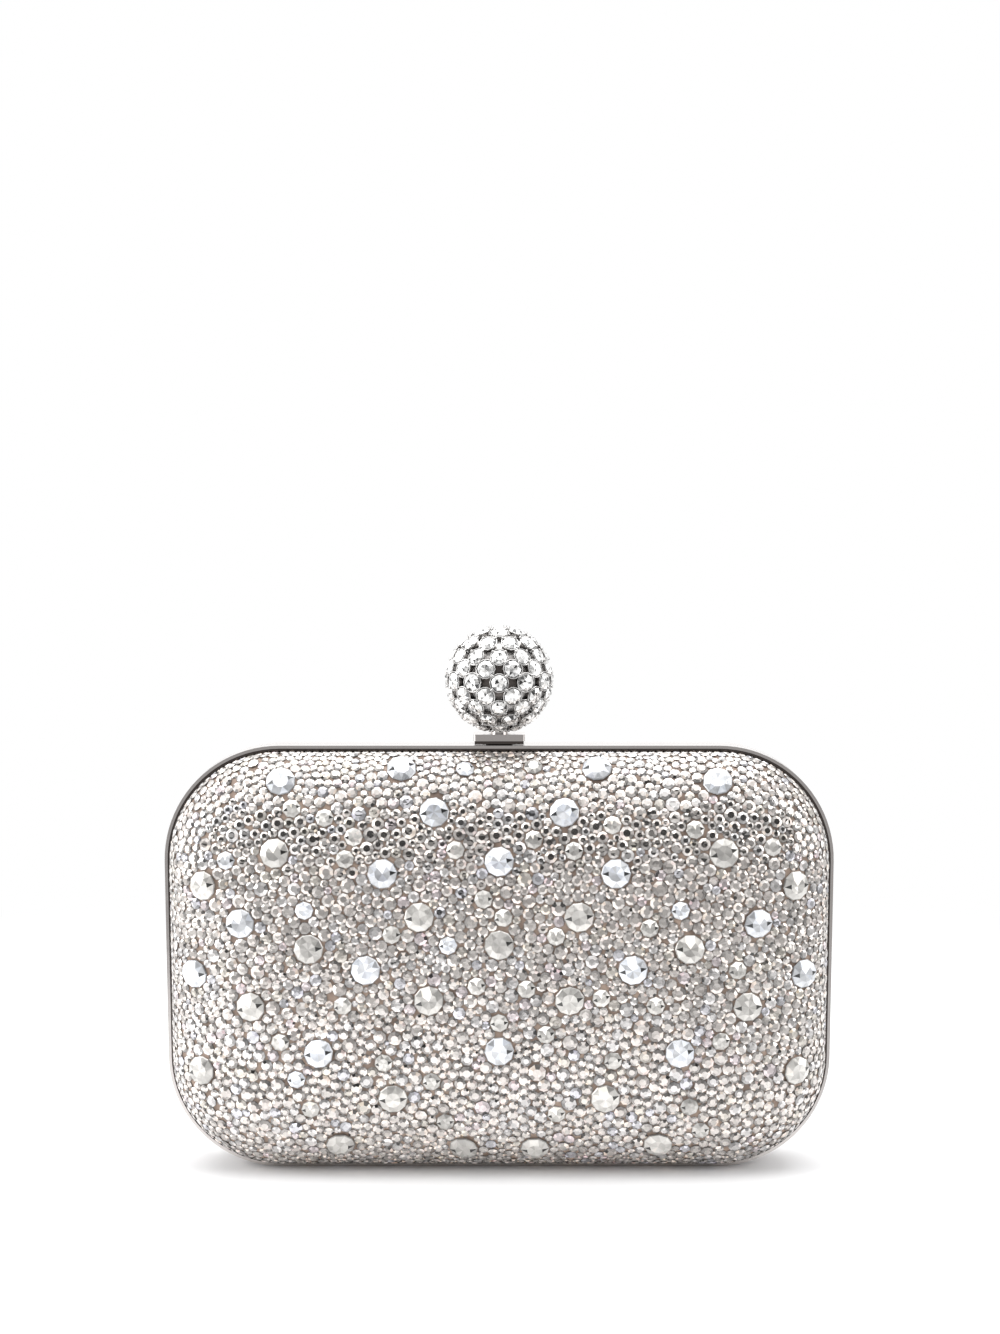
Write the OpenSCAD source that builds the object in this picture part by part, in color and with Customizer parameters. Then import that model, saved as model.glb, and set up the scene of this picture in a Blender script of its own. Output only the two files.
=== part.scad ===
// Box clutch (minaudiere) of two pillowed metal shells in rounded frames, hinged along the
// bottom, held shut by a tipping lever under a ball of set stones.
// Millimetres. X is the width, the front faces -Y, Z is up, the floor is Z = 0 and the two
// halves meet in the plane Y = 0.

/* [Body] */

// width over the frame
body_w = 170; // [150:1:190]
// height over the frame
body_h = 109.2; // [98:0.2:120]
// radius of the two upper corners
top_corner_r = 29.5; // [26:0.5:33]
// radius of the two lower corners
low_corner_r = 29; // [25:0.5:32]
// distance from the parting plane to the front of a shell
half_depth = 22.6; // [19:0.1:26]

/* [Frame] */

// depth of each frame, from the parting plane
frame_depth = 5; // [4.8:0.1:6]
// thickness of the frame band
frame_wall = 0.75; // [0.75:0.05:1.1]
// width of the ledge that carries the shell, from the outside of the band
ledge_w = 6; // [5:0.1:7]
// distance from the parting plane to the ledge
ledge_y = 3.4; // [3.3:0.05:3.6]
// thickness of the ledge
ledge_t = 1; // [0.8:0.05:1.1]
// half of the gap between the two closed frames
half_gap = 0.05; // [0.03:0.01:0.1]
// thickness of the locating lip inside the rear frame
lip_t = 0.8; // [0.5:0.05:1]
// reach of the lip into the front frame
lip_reach = 1; // [0.6:0.1:1.2]
// clearance between the lip and the front frame
lip_gap = 0.3; // [0.25:0.01:0.4]
// distance from the parting plane to the back of the lip
lip_back = 1.5; // [1.2:0.1:2]
// height above the floor where the lip starts
lip_from = 14; // [12:0.5:20]
// half width of the break in the lip for the clasp
lip_break = 10; // [9.6:0.1:12]

/* [Shell] */

// distance from the outside of the frame to the outside of a shell, which leaves the groove
shell_inset = 2.1; // [1.8:0.05:2.4]
// thickness of a shell
shell_wall = 1.2; // [0.9:0.05:1.5]
// share of the run over which the shell rises, higher is steeper at the edge
rise_power = 2.8; // [2.2:0.1:3.4]
// roundness of the shoulder
shoulder_power = 2.2; // [1.8:0.1:2.6]
// height of a ridge line over the flat top, as a share of the run that is modelled
crown_share = 0.94; // [0.9:0.01:0.96]

/* [Lining] */

// thickness of the lining
lining_wall = 0.8; // [0.5:0.05:1.2]
// glue gap between the shell and the lining
lining_gap = 0.15; // [0.1:0.01:0.3]
// gap between the ledge and the edge of the lining
lining_edge_gap = 0.1; // [0.05:0.01:0.3]
// half width of the pocket
pocket_half_w = 42; // [34:1:48]
// height of the bottom of the pocket above the floor
pocket_low = 26; // [22:1:30]
// height of the mouth of the pocket above the floor
pocket_high = 72; // [60:1:78]
// room between the pocket panel and the deepest place of the lining
pocket_room = 2.25; // [2.2:0.05:3]
// thickness of the pocket cloth
pocket_t = 0.8; // [0.6:0.05:1]
// gap between the pocket strips and the lining
pocket_gap = 0.1; // [0.08:0.01:0.3]
// width of the doubled hem at the mouth
hem_w = 3; // [2:0.1:4]
// extra thickness of the hem
hem_t = 0.35; // [0.2:0.05:0.5]

/* [Hinge] */

// height of the hinge axis above the floor
hinge_z = 1.6; // [1.6:0.05:1.8]
// outer radius of a knuckle
knuckle_r = 1.5; // [1.4:0.05:1.55]
// distance from each end of the hinge to the start of the corner
hinge_side = 0.25; // [0.2:0.05:3]
// gap between neighbouring knuckles
knuckle_gap = 0.3; // [0.2:0.05:0.5]
// radius of the hinge pin
hinge_pin_r = 0.6; // [0.5:0.05:0.7]
// running fit of the hinge pin
hinge_fit = 0.05; // [0.03:0.01:0.1]
// distance that each frame is cut back from the parting plane beside the hinge
cut_back = 1.8; // [1.8:0.05:2]
// thickness of a hinge leaf
leaf_t = 0.6; // [0.5:0.05:0.8]
// gap between a leaf and the ledge
leaf_end_gap = 0.1; // [0.05:0.01:0.2]
// overhang of the cut in the frame over the ends of the hinge
cut_end = 1; // [0.6:0.1:2]
// radius of a rivet
rivet_r = 0.5; // [0.4:0.05:0.6]
// radius of a rivet head
rivet_head_r = 0.75; // [0.65:0.05:0.8]
// thickness of a rivet head
rivet_head_t = 0.35; // [0.2:0.05:0.5]
// clearance round a rivet
rivet_fit = 0.02; // [0.01:0.01:0.05]

/* [Clasp] */

// width of the clasp plate
plate_w = 13; // [12:0.1:14]
// distance from the parting plane to the front edge of the plate
plate_front = 4; // [3.9:0.05:4.4]
// distance from the parting plane to the rear edge of the plate
plate_rear = 4.4; // [4.3:0.05:4.6]
// thickness of the plate
plate_t = 1.7; // [0.8:0.05:1.9]
// gap between the pad and the frame under it
plate_gap = 0.25; // [0.2:0.01:0.3]
// thickness of the pad under the plate
pad_t = 0.75; // [0.4:0.05:1]
// distance from the edge of the plate to the edge of the pad
pad_inset = 0.3; // [0.3:0.05:1]
// radius of the corners of the plate
plate_corner = 0.8; // [0.5:0.1:1.2]
// distance from the parting plane to the pivot
pivot_y = 3.8; // [3.7:0.05:3.9]
// depth of the pivot below the top of the frame
pivot_drop = 0.7; // [0.6:0.05:0.8]
// radius of the clasp pin
clasp_pin_r = 0.5; // [0.4:0.05:0.55]
// running fit of the clasp pin
clasp_fit = 0.05; // [0.03:0.01:0.08]
// radius of the boss round the clasp pin
boss_r = 0.95; // [0.9:0.01:1]
// half width of the boss
boss_half_w = 3.4; // [3:0.1:3.5]
// gap between the boss and an ear
ear_gap = 0.2; // [0.15:0.01:0.3]
// thickness of an ear
ear_t = 0.7; // [0.6:0.05:0.8]
// half width of the slot in the rear frame
slot_half_w = 4.7; // [4.6:0.05:4.9]
// distance from the parting plane to the slot
slot_y = 2.6; // [2.5:0.05:2.7]
// half width of the catch lug
lug_half_w = 2.5; // [2:0.1:2.8]
// distance from the parting plane to the rear face of the lug
lug_rear = 1.5; // [1.45:0.05:1.6]
// distance from the parting plane to the front of the lug at the plate
lug_front = 3.4; // [3.2:0.05:3.6]
// distance from the parting plane to the front of the lug at its tip
lug_tip = 2.3; // [2.2:0.05:2.6]
// depth of the lug below the top of the frame
lug_drop = 1.15; // [1:0.05:1.2]
// width of the bar behind the catch hole
catch_bar = 1.2; // [1.1:0.05:1.2]
// distance from the parting plane to the front of the catch hole
catch_front = 4.1; // [3.9:0.05:4.2]
// half width of the catch hole
catch_half_w = 3; // [2.9:0.05:3.3]
// half width of the tail of the lever
tail_half_w = 1.5; // [1.2:0.1:1.8]
// thickness of the tail
tail_t = 0.9; // [0.7:0.05:1]
// depth of the end of the tail below the top of the frame
tail_drop = 4.6; // [4.2:0.1:5]
// distance from the parting plane to the front of the tail
tail_y = 3.2; // [3.15:0.05:3.3]
// half length of the clasp bracket
bracket_half_w = 9; // [8:0.1:9.4]
// thickness of the clasp bracket
bracket_t = 0.7; // [0.6:0.05:0.8]
// distance from the parting plane to the front of the bracket
bracket_front = 0.7; // [0.6:0.05:0.9]
// distance from the parting plane to the back of the bracket foot
bracket_back = 3.2; // [3.1:0.05:3.25]
// distance from the parting plane to the back of the ears
ear_back = 4.8; // [4.7:0.05:4.9]
// distance from the centre to a bracket rivet
bracket_rivet_x = 6.8; // [6.2:0.1:7.4]
// thickness of the leaf spring
spring_t = 0.2; // [0.15:0.01:0.25]
// half width of the leaf spring
spring_half_w = 1.3; // [1:0.1:1.4]
// gap between the leaf spring and the tail
spring_gap = 0.06; // [0.03:0.01:0.1]
// distance of the end of the leaf spring above the end of the tail
spring_end = 0.3; // [0.2:0.05:0.6]

/* [Ball] */

// radius over the stones of the ball
ball_r = 13.9; // [12:0.1:15]
// height of the middle of the ball above the frame
ball_rise = 16.4; // [15.8:0.1:18]
// radius of the ball core as a share of the ball
core_share = 0.862; // [0.84:0.002:0.88]
// height of a cup
cup_h = 1.2; // [0.9:0.05:1.3]
// radius of a cup at its rim
cup_r = 2.31; // [2:0.01:2.33]
// radius of a cup at its base
cup_base_r = 1.8; // [1.5:0.01:1.85]
// thickness of a cup
cup_wall = 0.2; // [0.15:0.01:0.3]
// gap between the core and a cup at its middle
cup_seat = 0.02; // [0.01:0.01:0.1]
// gap between a stone and its cup
stone_fit = 0.03; // [0.01:0.01:0.1]
// radius of the flat top of a ball stone, as a share of its radius
table_share = 0.56; // [0.45:0.01:0.65]
// radius of the collar under the ball
collar_r = 2.2; // [1.6:0.1:2.4]
// radius of the stud that holds the ball
stud_r = 1; // [0.8:0.05:1.2]
// depth of the stud in the ball
stud_up = 8; // [5:0.5:10]
// clearance round the stud
stud_fit = 0.02; // [0.01:0.01:0.05]

/* [Stones] */

// diameter of a large stone
large_d = 7.6; // [6.5:0.1:8]
// height of a large stone
large_h = 2.3; // [1.8:0.1:2.8]
// diameter of a medium stone
medium_d = 4.8; // [4:0.1:5.2]
// height of a medium stone
medium_h = 1.6; // [1.2:0.1:2]
// diameter of a pave stone
pave_d = 3.8; // [3.2:0.05:4.2]
// height of a pave stone
pave_h = 1.25; // [0.9:0.05:1.5]
// least gap between a pave stone and the next stone
pave_gap = 0.3; // [0.2:0.05:0.6]
// how far a pave stone may stray along its row and across it
pave_stray = 0.3; // [0:0.05:0.5]
// gap between the first row of pave stones and the frame
pave_edge = 0.4; // [0.3:0.05:0.8]
// glue gap under a stone
glue_gap = 0.06; // [0.04:0.01:0.15]
// radius of the flat top of a stone, as a share of its radius
flat_share = 0.58; // [0.45:0.01:0.7]
// height of the girdle of a stone, as a share of its height
girdle_share = 0.22; // [0.15:0.01:0.3]
// radius of the flat back of a stone, as a share of its radius
back_share = 0.94; // [0.9:0.01:0.98]

/* [Hidden] */

overrun = 1;
quarter = 90;
full_turn = 360;
halvings = 26;
slope_step = 0.05;
arc_steps = 80;
arc_ease = 3;
stray_seed = 41;
round_n = 48;
small_n = 28;
shell_arc = 16;
lining_arc = 9;
shell_rings = 13;
inner_rings = 9;
lining_rings = 7;
ring_ease = 1.9;

top_z = body_h;
run = body_h/2 - shell_inset;
seat_y = ledge_y + ledge_t;
lining_inset = shell_inset + shell_wall + lining_gap;
lining_depth = half_depth - shell_wall - lining_gap;
pocket_y = lining_depth - lining_wall - pocket_room - pocket_t;
knuckles = 11;
rivets_each = 5;
hinge_len = body_w - 2*low_corner_r - 2*hinge_side;
knuckle_len = hinge_len/knuckles;
rivet_pitch = hinge_len/rivets_each;
pivot_z = top_z - pivot_drop;
plate_z = top_z + plate_gap + pad_t;
plate_top = plate_z + plate_t;
ball_z = top_z + ball_rise;
core_r = ball_r*core_share;
leaf_end = ledge_y - leaf_end_gap;
wall_z = top_z - frame_wall;
pave_pitch = pave_d + pave_gap + 2*pave_stray;

// Ball rows: latitude, number of stones, turn of the row as a share of its pitch, size share.
ball_row_shares = [
    [0, 12, 0, 1],
    [14.6, 12, 0.5, 0.975],
    [-14.6, 12, 0.5, 0.975],
    [28.2, 12, 0, 0.9],
    [-28.2, 12, 0, 0.9],
    [47.4, 10, 0.5, 0.965],
    [-47.4, 10, 0.5, 0.965],
    [67.6, 6, 0, 0.965],
    [-67.6, 6, 0, 0.9],
    [90, 1, 0, 0.965]
];

// Large stones: distance from the middle as a share of half the width, height share. Each one
// off the middle has a twin on the other side.
large_shares = [
    [0, 0.751], [0, 0.561], [0, 0.313],
    [0.656, 0.769], [0.19, 0.86], [0.341, 0.724], [0.234, 0.625], [0.76, 0.607],
    [0.559, 0.551], [0.392, 0.503], [0.732, 0.414], [0.207, 0.432], [0.533, 0.308],
    [0.315, 0.198], [0.885, 0.256], [0.64, 0.926], [0.287, 0.951], [0.87, 0.69],
    [0.9, 0.483], [0.475, 0.08], [0.107, 0.071]
];

// Medium stones of the front, one by one: signed distance from the middle as a share of half
// the width, height share.
medium_shares = [
    [0.012, 0.624], [0.166, 0.581], [-0.046, 0.666], [0.3, 0.438], [-0.066, 0.466],
    [0.08, 0.459], [0.336, 0.29], [-0.341, 0.285], [-0.645, 0.333], [-0.6, 0.245],
    [-0.56, 0.172], [0.654, 0.335], [0.6, 0.118], [0.565, 0.178], [-0.606, 0.868],
    [-0.51, 0.848], [-0.425, 0.806], [-0.45, 0.757], [-0.57, 0.64], [0.137, 0.353],
    [0, 0.38], [-0.128, 0.777], [0.53, 0.64], [0.572, 0.822], [0.33, 0.832],
    [0.1, 0.8], [0.218, 0.775], [-0.315, 0.585], [0.44, 0.6], [-0.15, 0.56],
    [-0.46, 0.42], [0.46, 0.42], [-0.8, 0.75], [0.8, 0.78], [-0.1, 0.95], [0.1, 0.955],
    [-0.2, 0.24], [0.17, 0.16], [-0.16, 0.14], [0.7, 0.5]
];

// Height of the pillow at a share u of the run, from 0 at the rim to 1 in the middle.
function rise(u) = pow(1 - pow(1 - u, rise_power), 1/shoulder_power);

// Corner radius of the outline that lies b inside the frame and t further up the pillow.
function corner(up, b, t, tt) = ((up ? top_corner_r : low_corner_r) - b)*(1 - t/tt);

// Signed distance from x, z to the outline at t.
function outside(x, z, t) =
    let(up = z > body_h/2, r = corner(up, shell_inset, t, run), i = shell_inset + t,
        qx = abs(x) - (body_w/2 - i - r),
        qz = up ? z - (body_h - i - r) : i + r - z)
    min(max(qx, qz), 0) + norm([max(qx, 0), max(qz, 0)]) - r;

// Run from the rim to x, z, found by halving.
function run_at(x, z, a = 0, b = run, n = halvings) =
    n == 0 ? a : let(m = (a + b)/2)
    outside(x, z, m) <= 0 ? run_at(x, z, m, b, n - 1) : run_at(x, z, a, m, n - 1);

// Distance from the parting plane to the outside of the shell at x, z.
function depth_at(x, z) = frame_depth + (half_depth - frame_depth)*rise(run_at(x, z)/run);

// The point of the shell at x, z, with its depth as a positive number.
function on_shell(x, z) = [x, depth_at(x, z), z];

// Table of the distance along the surface from the rim, and the run that it reaches.
function arc_from(k = 0, s = 0, list = [[0, 0]]) =
    k == arc_steps ? list :
    let(t0 = run*pow(k/arc_steps, arc_ease), t1 = run*pow((k + 1)/arc_steps, arc_ease),
        dy = (half_depth - frame_depth)*(rise(t1/run) - rise(t0/run)),
        s1 = s + norm([t1 - t0, dy]))
    arc_from(k + 1, s1, concat(list, [[s1, t1]]));

// Half of the length of the outline at t.
function half_round(t) =
    let(i = shell_inset + t, r = corner(true, shell_inset, t, run),
        l = corner(false, shell_inset, t, run))
    body_w + body_h - 4*i - 2*(r + l) + PI/2*(r + l);

// The point at a distance q along the outline at t, from the middle of the top.
function round_at(t, q) =
    let(i = shell_inset + t, r = corner(true, shell_inset, t, run),
        l = corner(false, shell_inset, t, run), half = half_round(t),
        s = q < half ? 1 : -1, d = q < half ? q : 2*half - q,
        w = body_w/2 - i, top = body_h - i,
        d1 = w - r, d2 = d1 + PI/2*r, d3 = d2 + body_h - 2*i - r - l, d4 = d3 + PI/2*l)
    d < d1 ? [s*d, top] :
    d < d2 ? let(a = quarter*(d2 - d)/(d2 - d1)) [s*(d1 + r*cos(a)), top - r + r*sin(a)] :
    d < d3 ? [s*w, top - r - (d - d2)] :
    d < d4 ? let(a = quarter*(d - d3)/(d4 - d3)) [s*(w - l + l*cos(a)), i + l - l*sin(a)] :
    [s*(w - l - (d - d4)), i];

// One row of pave stones at a distance s along the surface, each a little off its even place.
function pave_row(k, s, table) =
    let(t = lookup(s, table), whole = 2*half_round(t), n = floor(whole/pave_pitch),
        along = rands(-pave_stray, pave_stray, n, stray_seed + k),
        across = rands(-pave_stray, pave_stray, n, 2*stray_seed + k))
    [for (j = [0:n - 1]) let(t2 = lookup(s + across[j], table),
        q = ((j + k%2/2)/n*whole + along[j] + whole)%whole)
        round_at(t2, q*half_round(t2)/half_round(t))];

// Stones that the pave makes room for: place on the shell and radius.
function held_places() = concat(
    [for (p = large_shares) for (s = p[0] == 0 ? [1] : [-1, 1])
        [on_shell(s*p[0]*body_w/2, p[1]*body_h), large_d/2]],
    [for (p = medium_shares) [on_shell(p[0]*body_w/2, p[1]*body_h), medium_d/2]]);

// Places of the pave stones, as x and z. The rows run round the shell at even distances along
// its surface, from the frame to the ridge, at least one pitch apart.
function pave_places() =
    let(table = arc_from(), held = held_places(), first = pave_edge + pave_d/2 + pave_stray,
        room = table[arc_steps][0] - first - pave_pitch/2, rows = floor(room/pave_pitch))
    [for (k = [0:rows]) for (p = pave_row(k, first + k*room/rows, table))
        let(q = on_shell(p[0], p[1]))
        if (len([for (h = held) if (norm(q - h[0]) < h[1] + pave_d/2 + pave_gap) 1]) == 0) p];

// One ring of points of a pillow: b inset of its rim, t run, y distance from the parting plane.
function ring(b, t, tt, y, n) = [
    for (q = [0:3]) let(up = q < 2, right = q == 0 || q == 3, r = corner(up, b, t, tt),
        cx = (right ? 1 : -1)*(body_w/2 - b - t - r),
        cz = up ? body_h - b - t - r : b + t + r)
    for (k = [0:n]) let(a = quarter*(q + k/n)) [cx + r*cos(a), y, cz + r*sin(a)]
];

// Rings of one face of a pillow, from the rim to the crown.
function rings(b, deep, y0, n, count) =
    let(tt = body_h/2 - b)
    concat([ring(b, 0, tt, y0, n)],
        [for (k = [0:count]) let(u = crown_share*pow(k/count, ring_ease))
            ring(b, u*tt, tt, frame_depth + (deep - frame_depth)*rise(u), n)]);

// A pillow of even thickness, open towards the parting plane.
module pillow(b_out, d_out, b_in, d_in, y0, n, n_out, n_in) {
    outer = rings(b_out, d_out, y0, n, n_out);
    inner = rings(b_in, d_in, y0, n, n_in);
    all = concat(outer, inner);
    m = 4*(n + 1);
    no = len(outer);
    ni = len(inner);
    polyhedron(
        points = [for (r = all) for (p = r) p],
        faces = concat(
            [for (k = [0:no - 2]) for (i = [0:m - 1]) for (h = [0, 1])
                let(j = (i + 1)%m, a = k*m + i, b = k*m + j, c = a + m, d = b + m)
                h == 0 ? [a, b, c] : [b, d, c]],
            [[for (i = [0:m - 1]) (no - 1)*m + i]],
            [for (k = [no:no + ni - 2]) for (i = [0:m - 1]) for (h = [0, 1])
                let(j = (i + 1)%m, a = k*m + i, b = k*m + j, c = a + m, d = b + m)
                h == 0 ? [a, c, b] : [b, c, d]],
            [[for (i = [m - 1:-1:0]) (no + ni - 1)*m + i]],
            [for (i = [0:m - 1]) for (h = [0, 1])
                let(j = (i + 1)%m, a = i, b = j, c = no*m + i, d = no*m + j)
                h == 0 ? [a, c, b] : [b, c, d]]));
}

// Outline of the body in X and Z, moved inwards by i.
module outline(i) {
    rt = top_corner_r - i;
    rl = low_corner_r - i;
    w = body_w/2 - i;
    for (s = [-1, 1]) {
        translate([s*(w - rt), body_h - i - rt]) circle(r = rt, $fn = 4*round_n);
        translate([s*(w - rl), i + rl]) circle(r = rl, $fn = 4*round_n);
    }
    translate([-w, i + rl]) square([2*w, body_h - 2*i - rt - rl]);
    translate([rt - w, i + rl]) square([2*(w - rt), body_h - 2*i - rl]);
    translate([rl - w, i]) square([2*(w - rl), body_h - 2*i - rt]);
}

// The outline as a slab between two distances from the parting plane, on the rear side.
module slab(i, from, to) {
    translate([0, to, 0]) rotate([quarter, 0, 0]) linear_extrude(to - from) outline(i);
}

module frame_ring(i_out, i_in, from, to) {
    difference() {
        slab(i_out, from, to);
        slab(i_in, from - overrun, to + overrun);
    }
}

// Box centred on X, given by its Y and Z limits.
module span(half_w, y0, y1, z0, z1) {
    translate([-half_w, y0, z0]) cube([2*half_w, y1 - y0, z1 - z0]);
}

// A cylinder along X between two places.
module rod(r, x0, x1, y, z) {
    translate([x0, y, z]) rotate([0, quarter, 0]) cylinder(r = r, h = x1 - x0, $fn = small_n);
}

module leaf_rivet_places() {
    for (k = [0:rivets_each - 1])
        translate([(k + 1/2)*rivet_pitch - hinge_len/2, (cut_back + leaf_end)/2, 0]) children();
}

// Band, ledge and hinge cut, the same for both halves, drawn on the rear side.
module half_frame() {
    difference() {
        union() {
            frame_ring(0, frame_wall, half_gap, frame_depth);
            frame_ring(frame_wall/2, ledge_w, ledge_y, seat_y);
        }
        translate([0, -overrun, -overrun])
            span(hinge_len/2 + cut_end, 0, cut_back + overrun, 0, 2*hinge_z + overrun);
        span(body_w/2, -overrun, cut_back, -overrun, hinge_z);
        leaf_rivet_places() translate([0, 0, -overrun])
            cylinder(r = rivet_r + rivet_fit, h = frame_wall + 2*overrun, $fn = small_n);
    }
}

module front_frame() {
    color([0.5, 0.48, 0.46])
    difference() {
        mirror([0, 1, 0]) half_frame();
        span(catch_half_w, -catch_front, -catch_bar, wall_z - overrun, top_z + overrun);
    }
}

module rear_frame() {
    color([0.5, 0.48, 0.46])
    difference() {
        union() {
            half_frame();
            difference() {
                frame_ring(frame_wall + lip_gap, frame_wall + lip_gap + lip_t, -lip_reach, lip_back);
                span(body_w/2, -lip_reach - overrun, lip_back + overrun, 0, lip_from);
            }
            difference() {
                frame_ring(frame_wall/2, frame_wall + lip_gap + lip_t, 2*half_gap, lip_back);
                span(body_w/2, -overrun, lip_back + overrun, 0, lip_from);
            }
        }
        span(lip_break, -lip_reach - overrun, ledge_y, top_z - ledge_w, wall_z);
        span(slot_half_w, slot_y, frame_depth + overrun, top_z - ledge_w - overrun, top_z + overrun);
        for (s = [-1, 1]) translate([s*bracket_rivet_x, (bracket_front + bracket_back)/2,
            wall_z - overrun])
            cylinder(r = rivet_r + rivet_fit, h = frame_wall + 2*overrun, $fn = small_n);
    }
}

module shell() {
    pillow(shell_inset, half_depth, shell_inset + shell_wall, half_depth - shell_wall,
        seat_y, shell_arc, shell_rings, inner_rings);
}

module lining() {
    pillow(lining_inset, lining_depth, lining_inset + lining_wall, lining_depth - lining_wall,
        seat_y + lining_edge_gap, lining_arc, lining_rings, lining_rings);
}

module front_shell() {
    color([0.72, 0.66, 0.63]) mirror([0, 1, 0]) shell();
}

module rear_shell() {
    color([0.72, 0.66, 0.63]) shell();
}

module front_lining() {
    color([0.36, 0.35, 0.35]) mirror([0, 1, 0]) lining();
}

module rear_lining() {
    color([0.36, 0.35, 0.35]) lining();
}

// Distance from the parting plane to the inside of the lining at a height z near the middle.
function inside_at(z) =
    let(b = lining_inset + lining_wall, tt = body_h/2 - b, t = min(z, body_h - z) - b)
    frame_depth + (lining_depth - lining_wall - frame_depth)*rise(min(t/tt, crown_share));

// A flat pouch sewn to the rear lining, open at the top.
module rear_pocket() {
    n = 12;
    high = pocket_high - pocket_low;
    color([0.4, 0.39, 0.39]) {
        span(pocket_half_w, pocket_y, pocket_y + pocket_t, pocket_low, pocket_high);
        span(pocket_half_w, pocket_y - hem_t, pocket_y + pocket_t,
            pocket_high - hem_w, pocket_high);
        span(pocket_half_w, pocket_y, inside_at(pocket_low) - pocket_gap,
            pocket_low, pocket_low + pocket_t);
        for (s = [-1, 1]) translate([s*(pocket_half_w - pocket_t/2) - pocket_t/2, 0, 0])
            rotate([quarter, 0, quarter]) linear_extrude(pocket_t) polygon(concat(
                [[pocket_y, pocket_high], [pocket_y, pocket_low]],
                [for (k = [0:n]) let(z = pocket_low + high*k/n)
                    [inside_at(z) - pocket_gap, z]]));
    }
}

// A stone with a flat back, seen as a turned profile: back, girdle, crown and flat top.
module stone(d, h) {
    r = d/2;
    rotate_extrude($fn = small_n) polygon([[0, 0], [r*back_share, 0], [r, h*girdle_share],
        [r*flat_share, h], [0, h]]);
}

// Children set on the front shell at x, z, square to its surface.
module set_front(x, z) {
    d = depth_at(x, z);
    sx = (depth_at(x + slope_step, z) - depth_at(x - slope_step, z))/(2*slope_step);
    sz = (depth_at(x, z + slope_step) - depth_at(x, z - slope_step))/(2*slope_step);
    long = norm([sx, 1, sz]);
    translate([x, -d, z]) rotate([0, acos(-sz/long), atan2(-1, -sx)])
        translate([0, 0, glue_gap]) children();
}

module large_stones() {
    for (p = large_shares) for (s = p[0] == 0 ? [1] : [-1, 1])
        set_front(s*p[0]*body_w/2, p[1]*body_h) stone(large_d, large_h);
}

module medium_stones() {
    for (p = medium_shares)
        set_front(p[0]*body_w/2, p[1]*body_h) stone(medium_d, medium_h);
}

// The small stones that cover the shell between the others.
module pave_stones() {
    for (p = pave_places()) set_front(p[0], p[1])
        cylinder(r1 = pave_d/2, r2 = pave_d/2*flat_share, h = pave_h, $fn = small_n);
}

module front_pave_stones() {
    color([0.88, 0.89, 0.9]) pave_stones();
}

module rear_pave_stones() {
    color([0.88, 0.89, 0.9]) mirror([0, 1, 0]) pave_stones();
}

module front_large_stones() {
    color([0.88, 0.89, 0.9]) large_stones();
}

module front_medium_stones() {
    color([0.88, 0.89, 0.9]) medium_stones();
}

module rear_large_stones() {
    color([0.88, 0.89, 0.9]) mirror([0, 1, 0]) large_stones();
}

module rear_medium_stones() {
    color([0.88, 0.89, 0.9]) mirror([0, 1, 0]) medium_stones();
}

// One leaf of the bottom hinge with its own knuckles, drawn on the rear side. The knuckles
// stand at the places whose number, counted from the left, has the given parity.
module hinge_leaf(parity) {
    difference() {
        union() {
            span(hinge_len/2, cut_back, leaf_end, frame_wall, frame_wall + leaf_t);
            for (k = [0:knuckles - 1]) if (k%2 == parity) {
                x0 = -hinge_len/2 + k*knuckle_len + knuckle_gap/2;
                x1 = x0 + knuckle_len - knuckle_gap;
                rod(knuckle_r, x0, x1, 0, hinge_z);
                translate([x0, hinge_pin_r + knuckle_gap, frame_wall])
                    cube([x1 - x0, cut_back - hinge_pin_r, leaf_t]);
            }
        }
        rod(hinge_pin_r + hinge_fit, -hinge_len/2 - overrun, hinge_len/2 + overrun, 0, hinge_z);
        leaf_rivet_places()
            cylinder(r = rivet_r + rivet_fit, h = frame_wall + leaf_t + overrun, $fn = small_n);
    }
}

module rear_hinge_leaf() {
    color([0.45, 0.44, 0.43]) hinge_leaf(0);
}

module front_hinge_leaf() {
    color([0.45, 0.44, 0.43]) mirror([0, 1, 0]) hinge_leaf(1);
}

module hinge_pin() {
    color([0.6, 0.59, 0.58])
        rod(hinge_pin_r, -hinge_len/2, hinge_len/2, 0, hinge_z);
}

// Rivets with a low head inside, filed flush with the outside of the frame.
module leaf_rivets() {
    leaf_rivet_places() {
        cylinder(r = rivet_r, h = frame_wall + leaf_t, $fn = small_n);
        translate([0, 0, frame_wall + leaf_t])
            cylinder(r1 = rivet_head_r, r2 = rivet_r, h = rivet_head_t, $fn = small_n);
    }
}

module rear_hinge_rivets() {
    color([0.55, 0.54, 0.53]) leaf_rivets();
}

module front_hinge_rivets() {
    color([0.55, 0.54, 0.53]) mirror([0, 1, 0]) leaf_rivets();
}

// Foot under the frame with two ears that stand up in the slot and hold the clasp pin.
module clasp_bracket() {
    ear_x = boss_half_w + ear_gap;
    foot_z = wall_z - bracket_t;
    color([0.42, 0.41, 0.4])
    difference() {
        union() {
            span(bracket_half_w, bracket_front, bracket_back, foot_z, wall_z);
            for (s = [-1, 1]) translate([s*(ear_x + ear_t/2), 0, 0]) {
                span(ear_t/2, slot_y + ear_gap, ear_back, foot_z, top_z);
            }
        }
        span(ear_x, slot_y - overrun/2, ear_back, foot_z - overrun, wall_z + overrun);
        rod(clasp_pin_r + stud_fit, -body_w, body_w, pivot_y, pivot_z);
        for (s = [-1, 1]) translate([s*bracket_rivet_x, (bracket_front + bracket_back)/2,
            foot_z - overrun])
            cylinder(r = rivet_r + rivet_fit, h = bracket_t + 2*overrun, $fn = small_n);
    }
}

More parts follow.
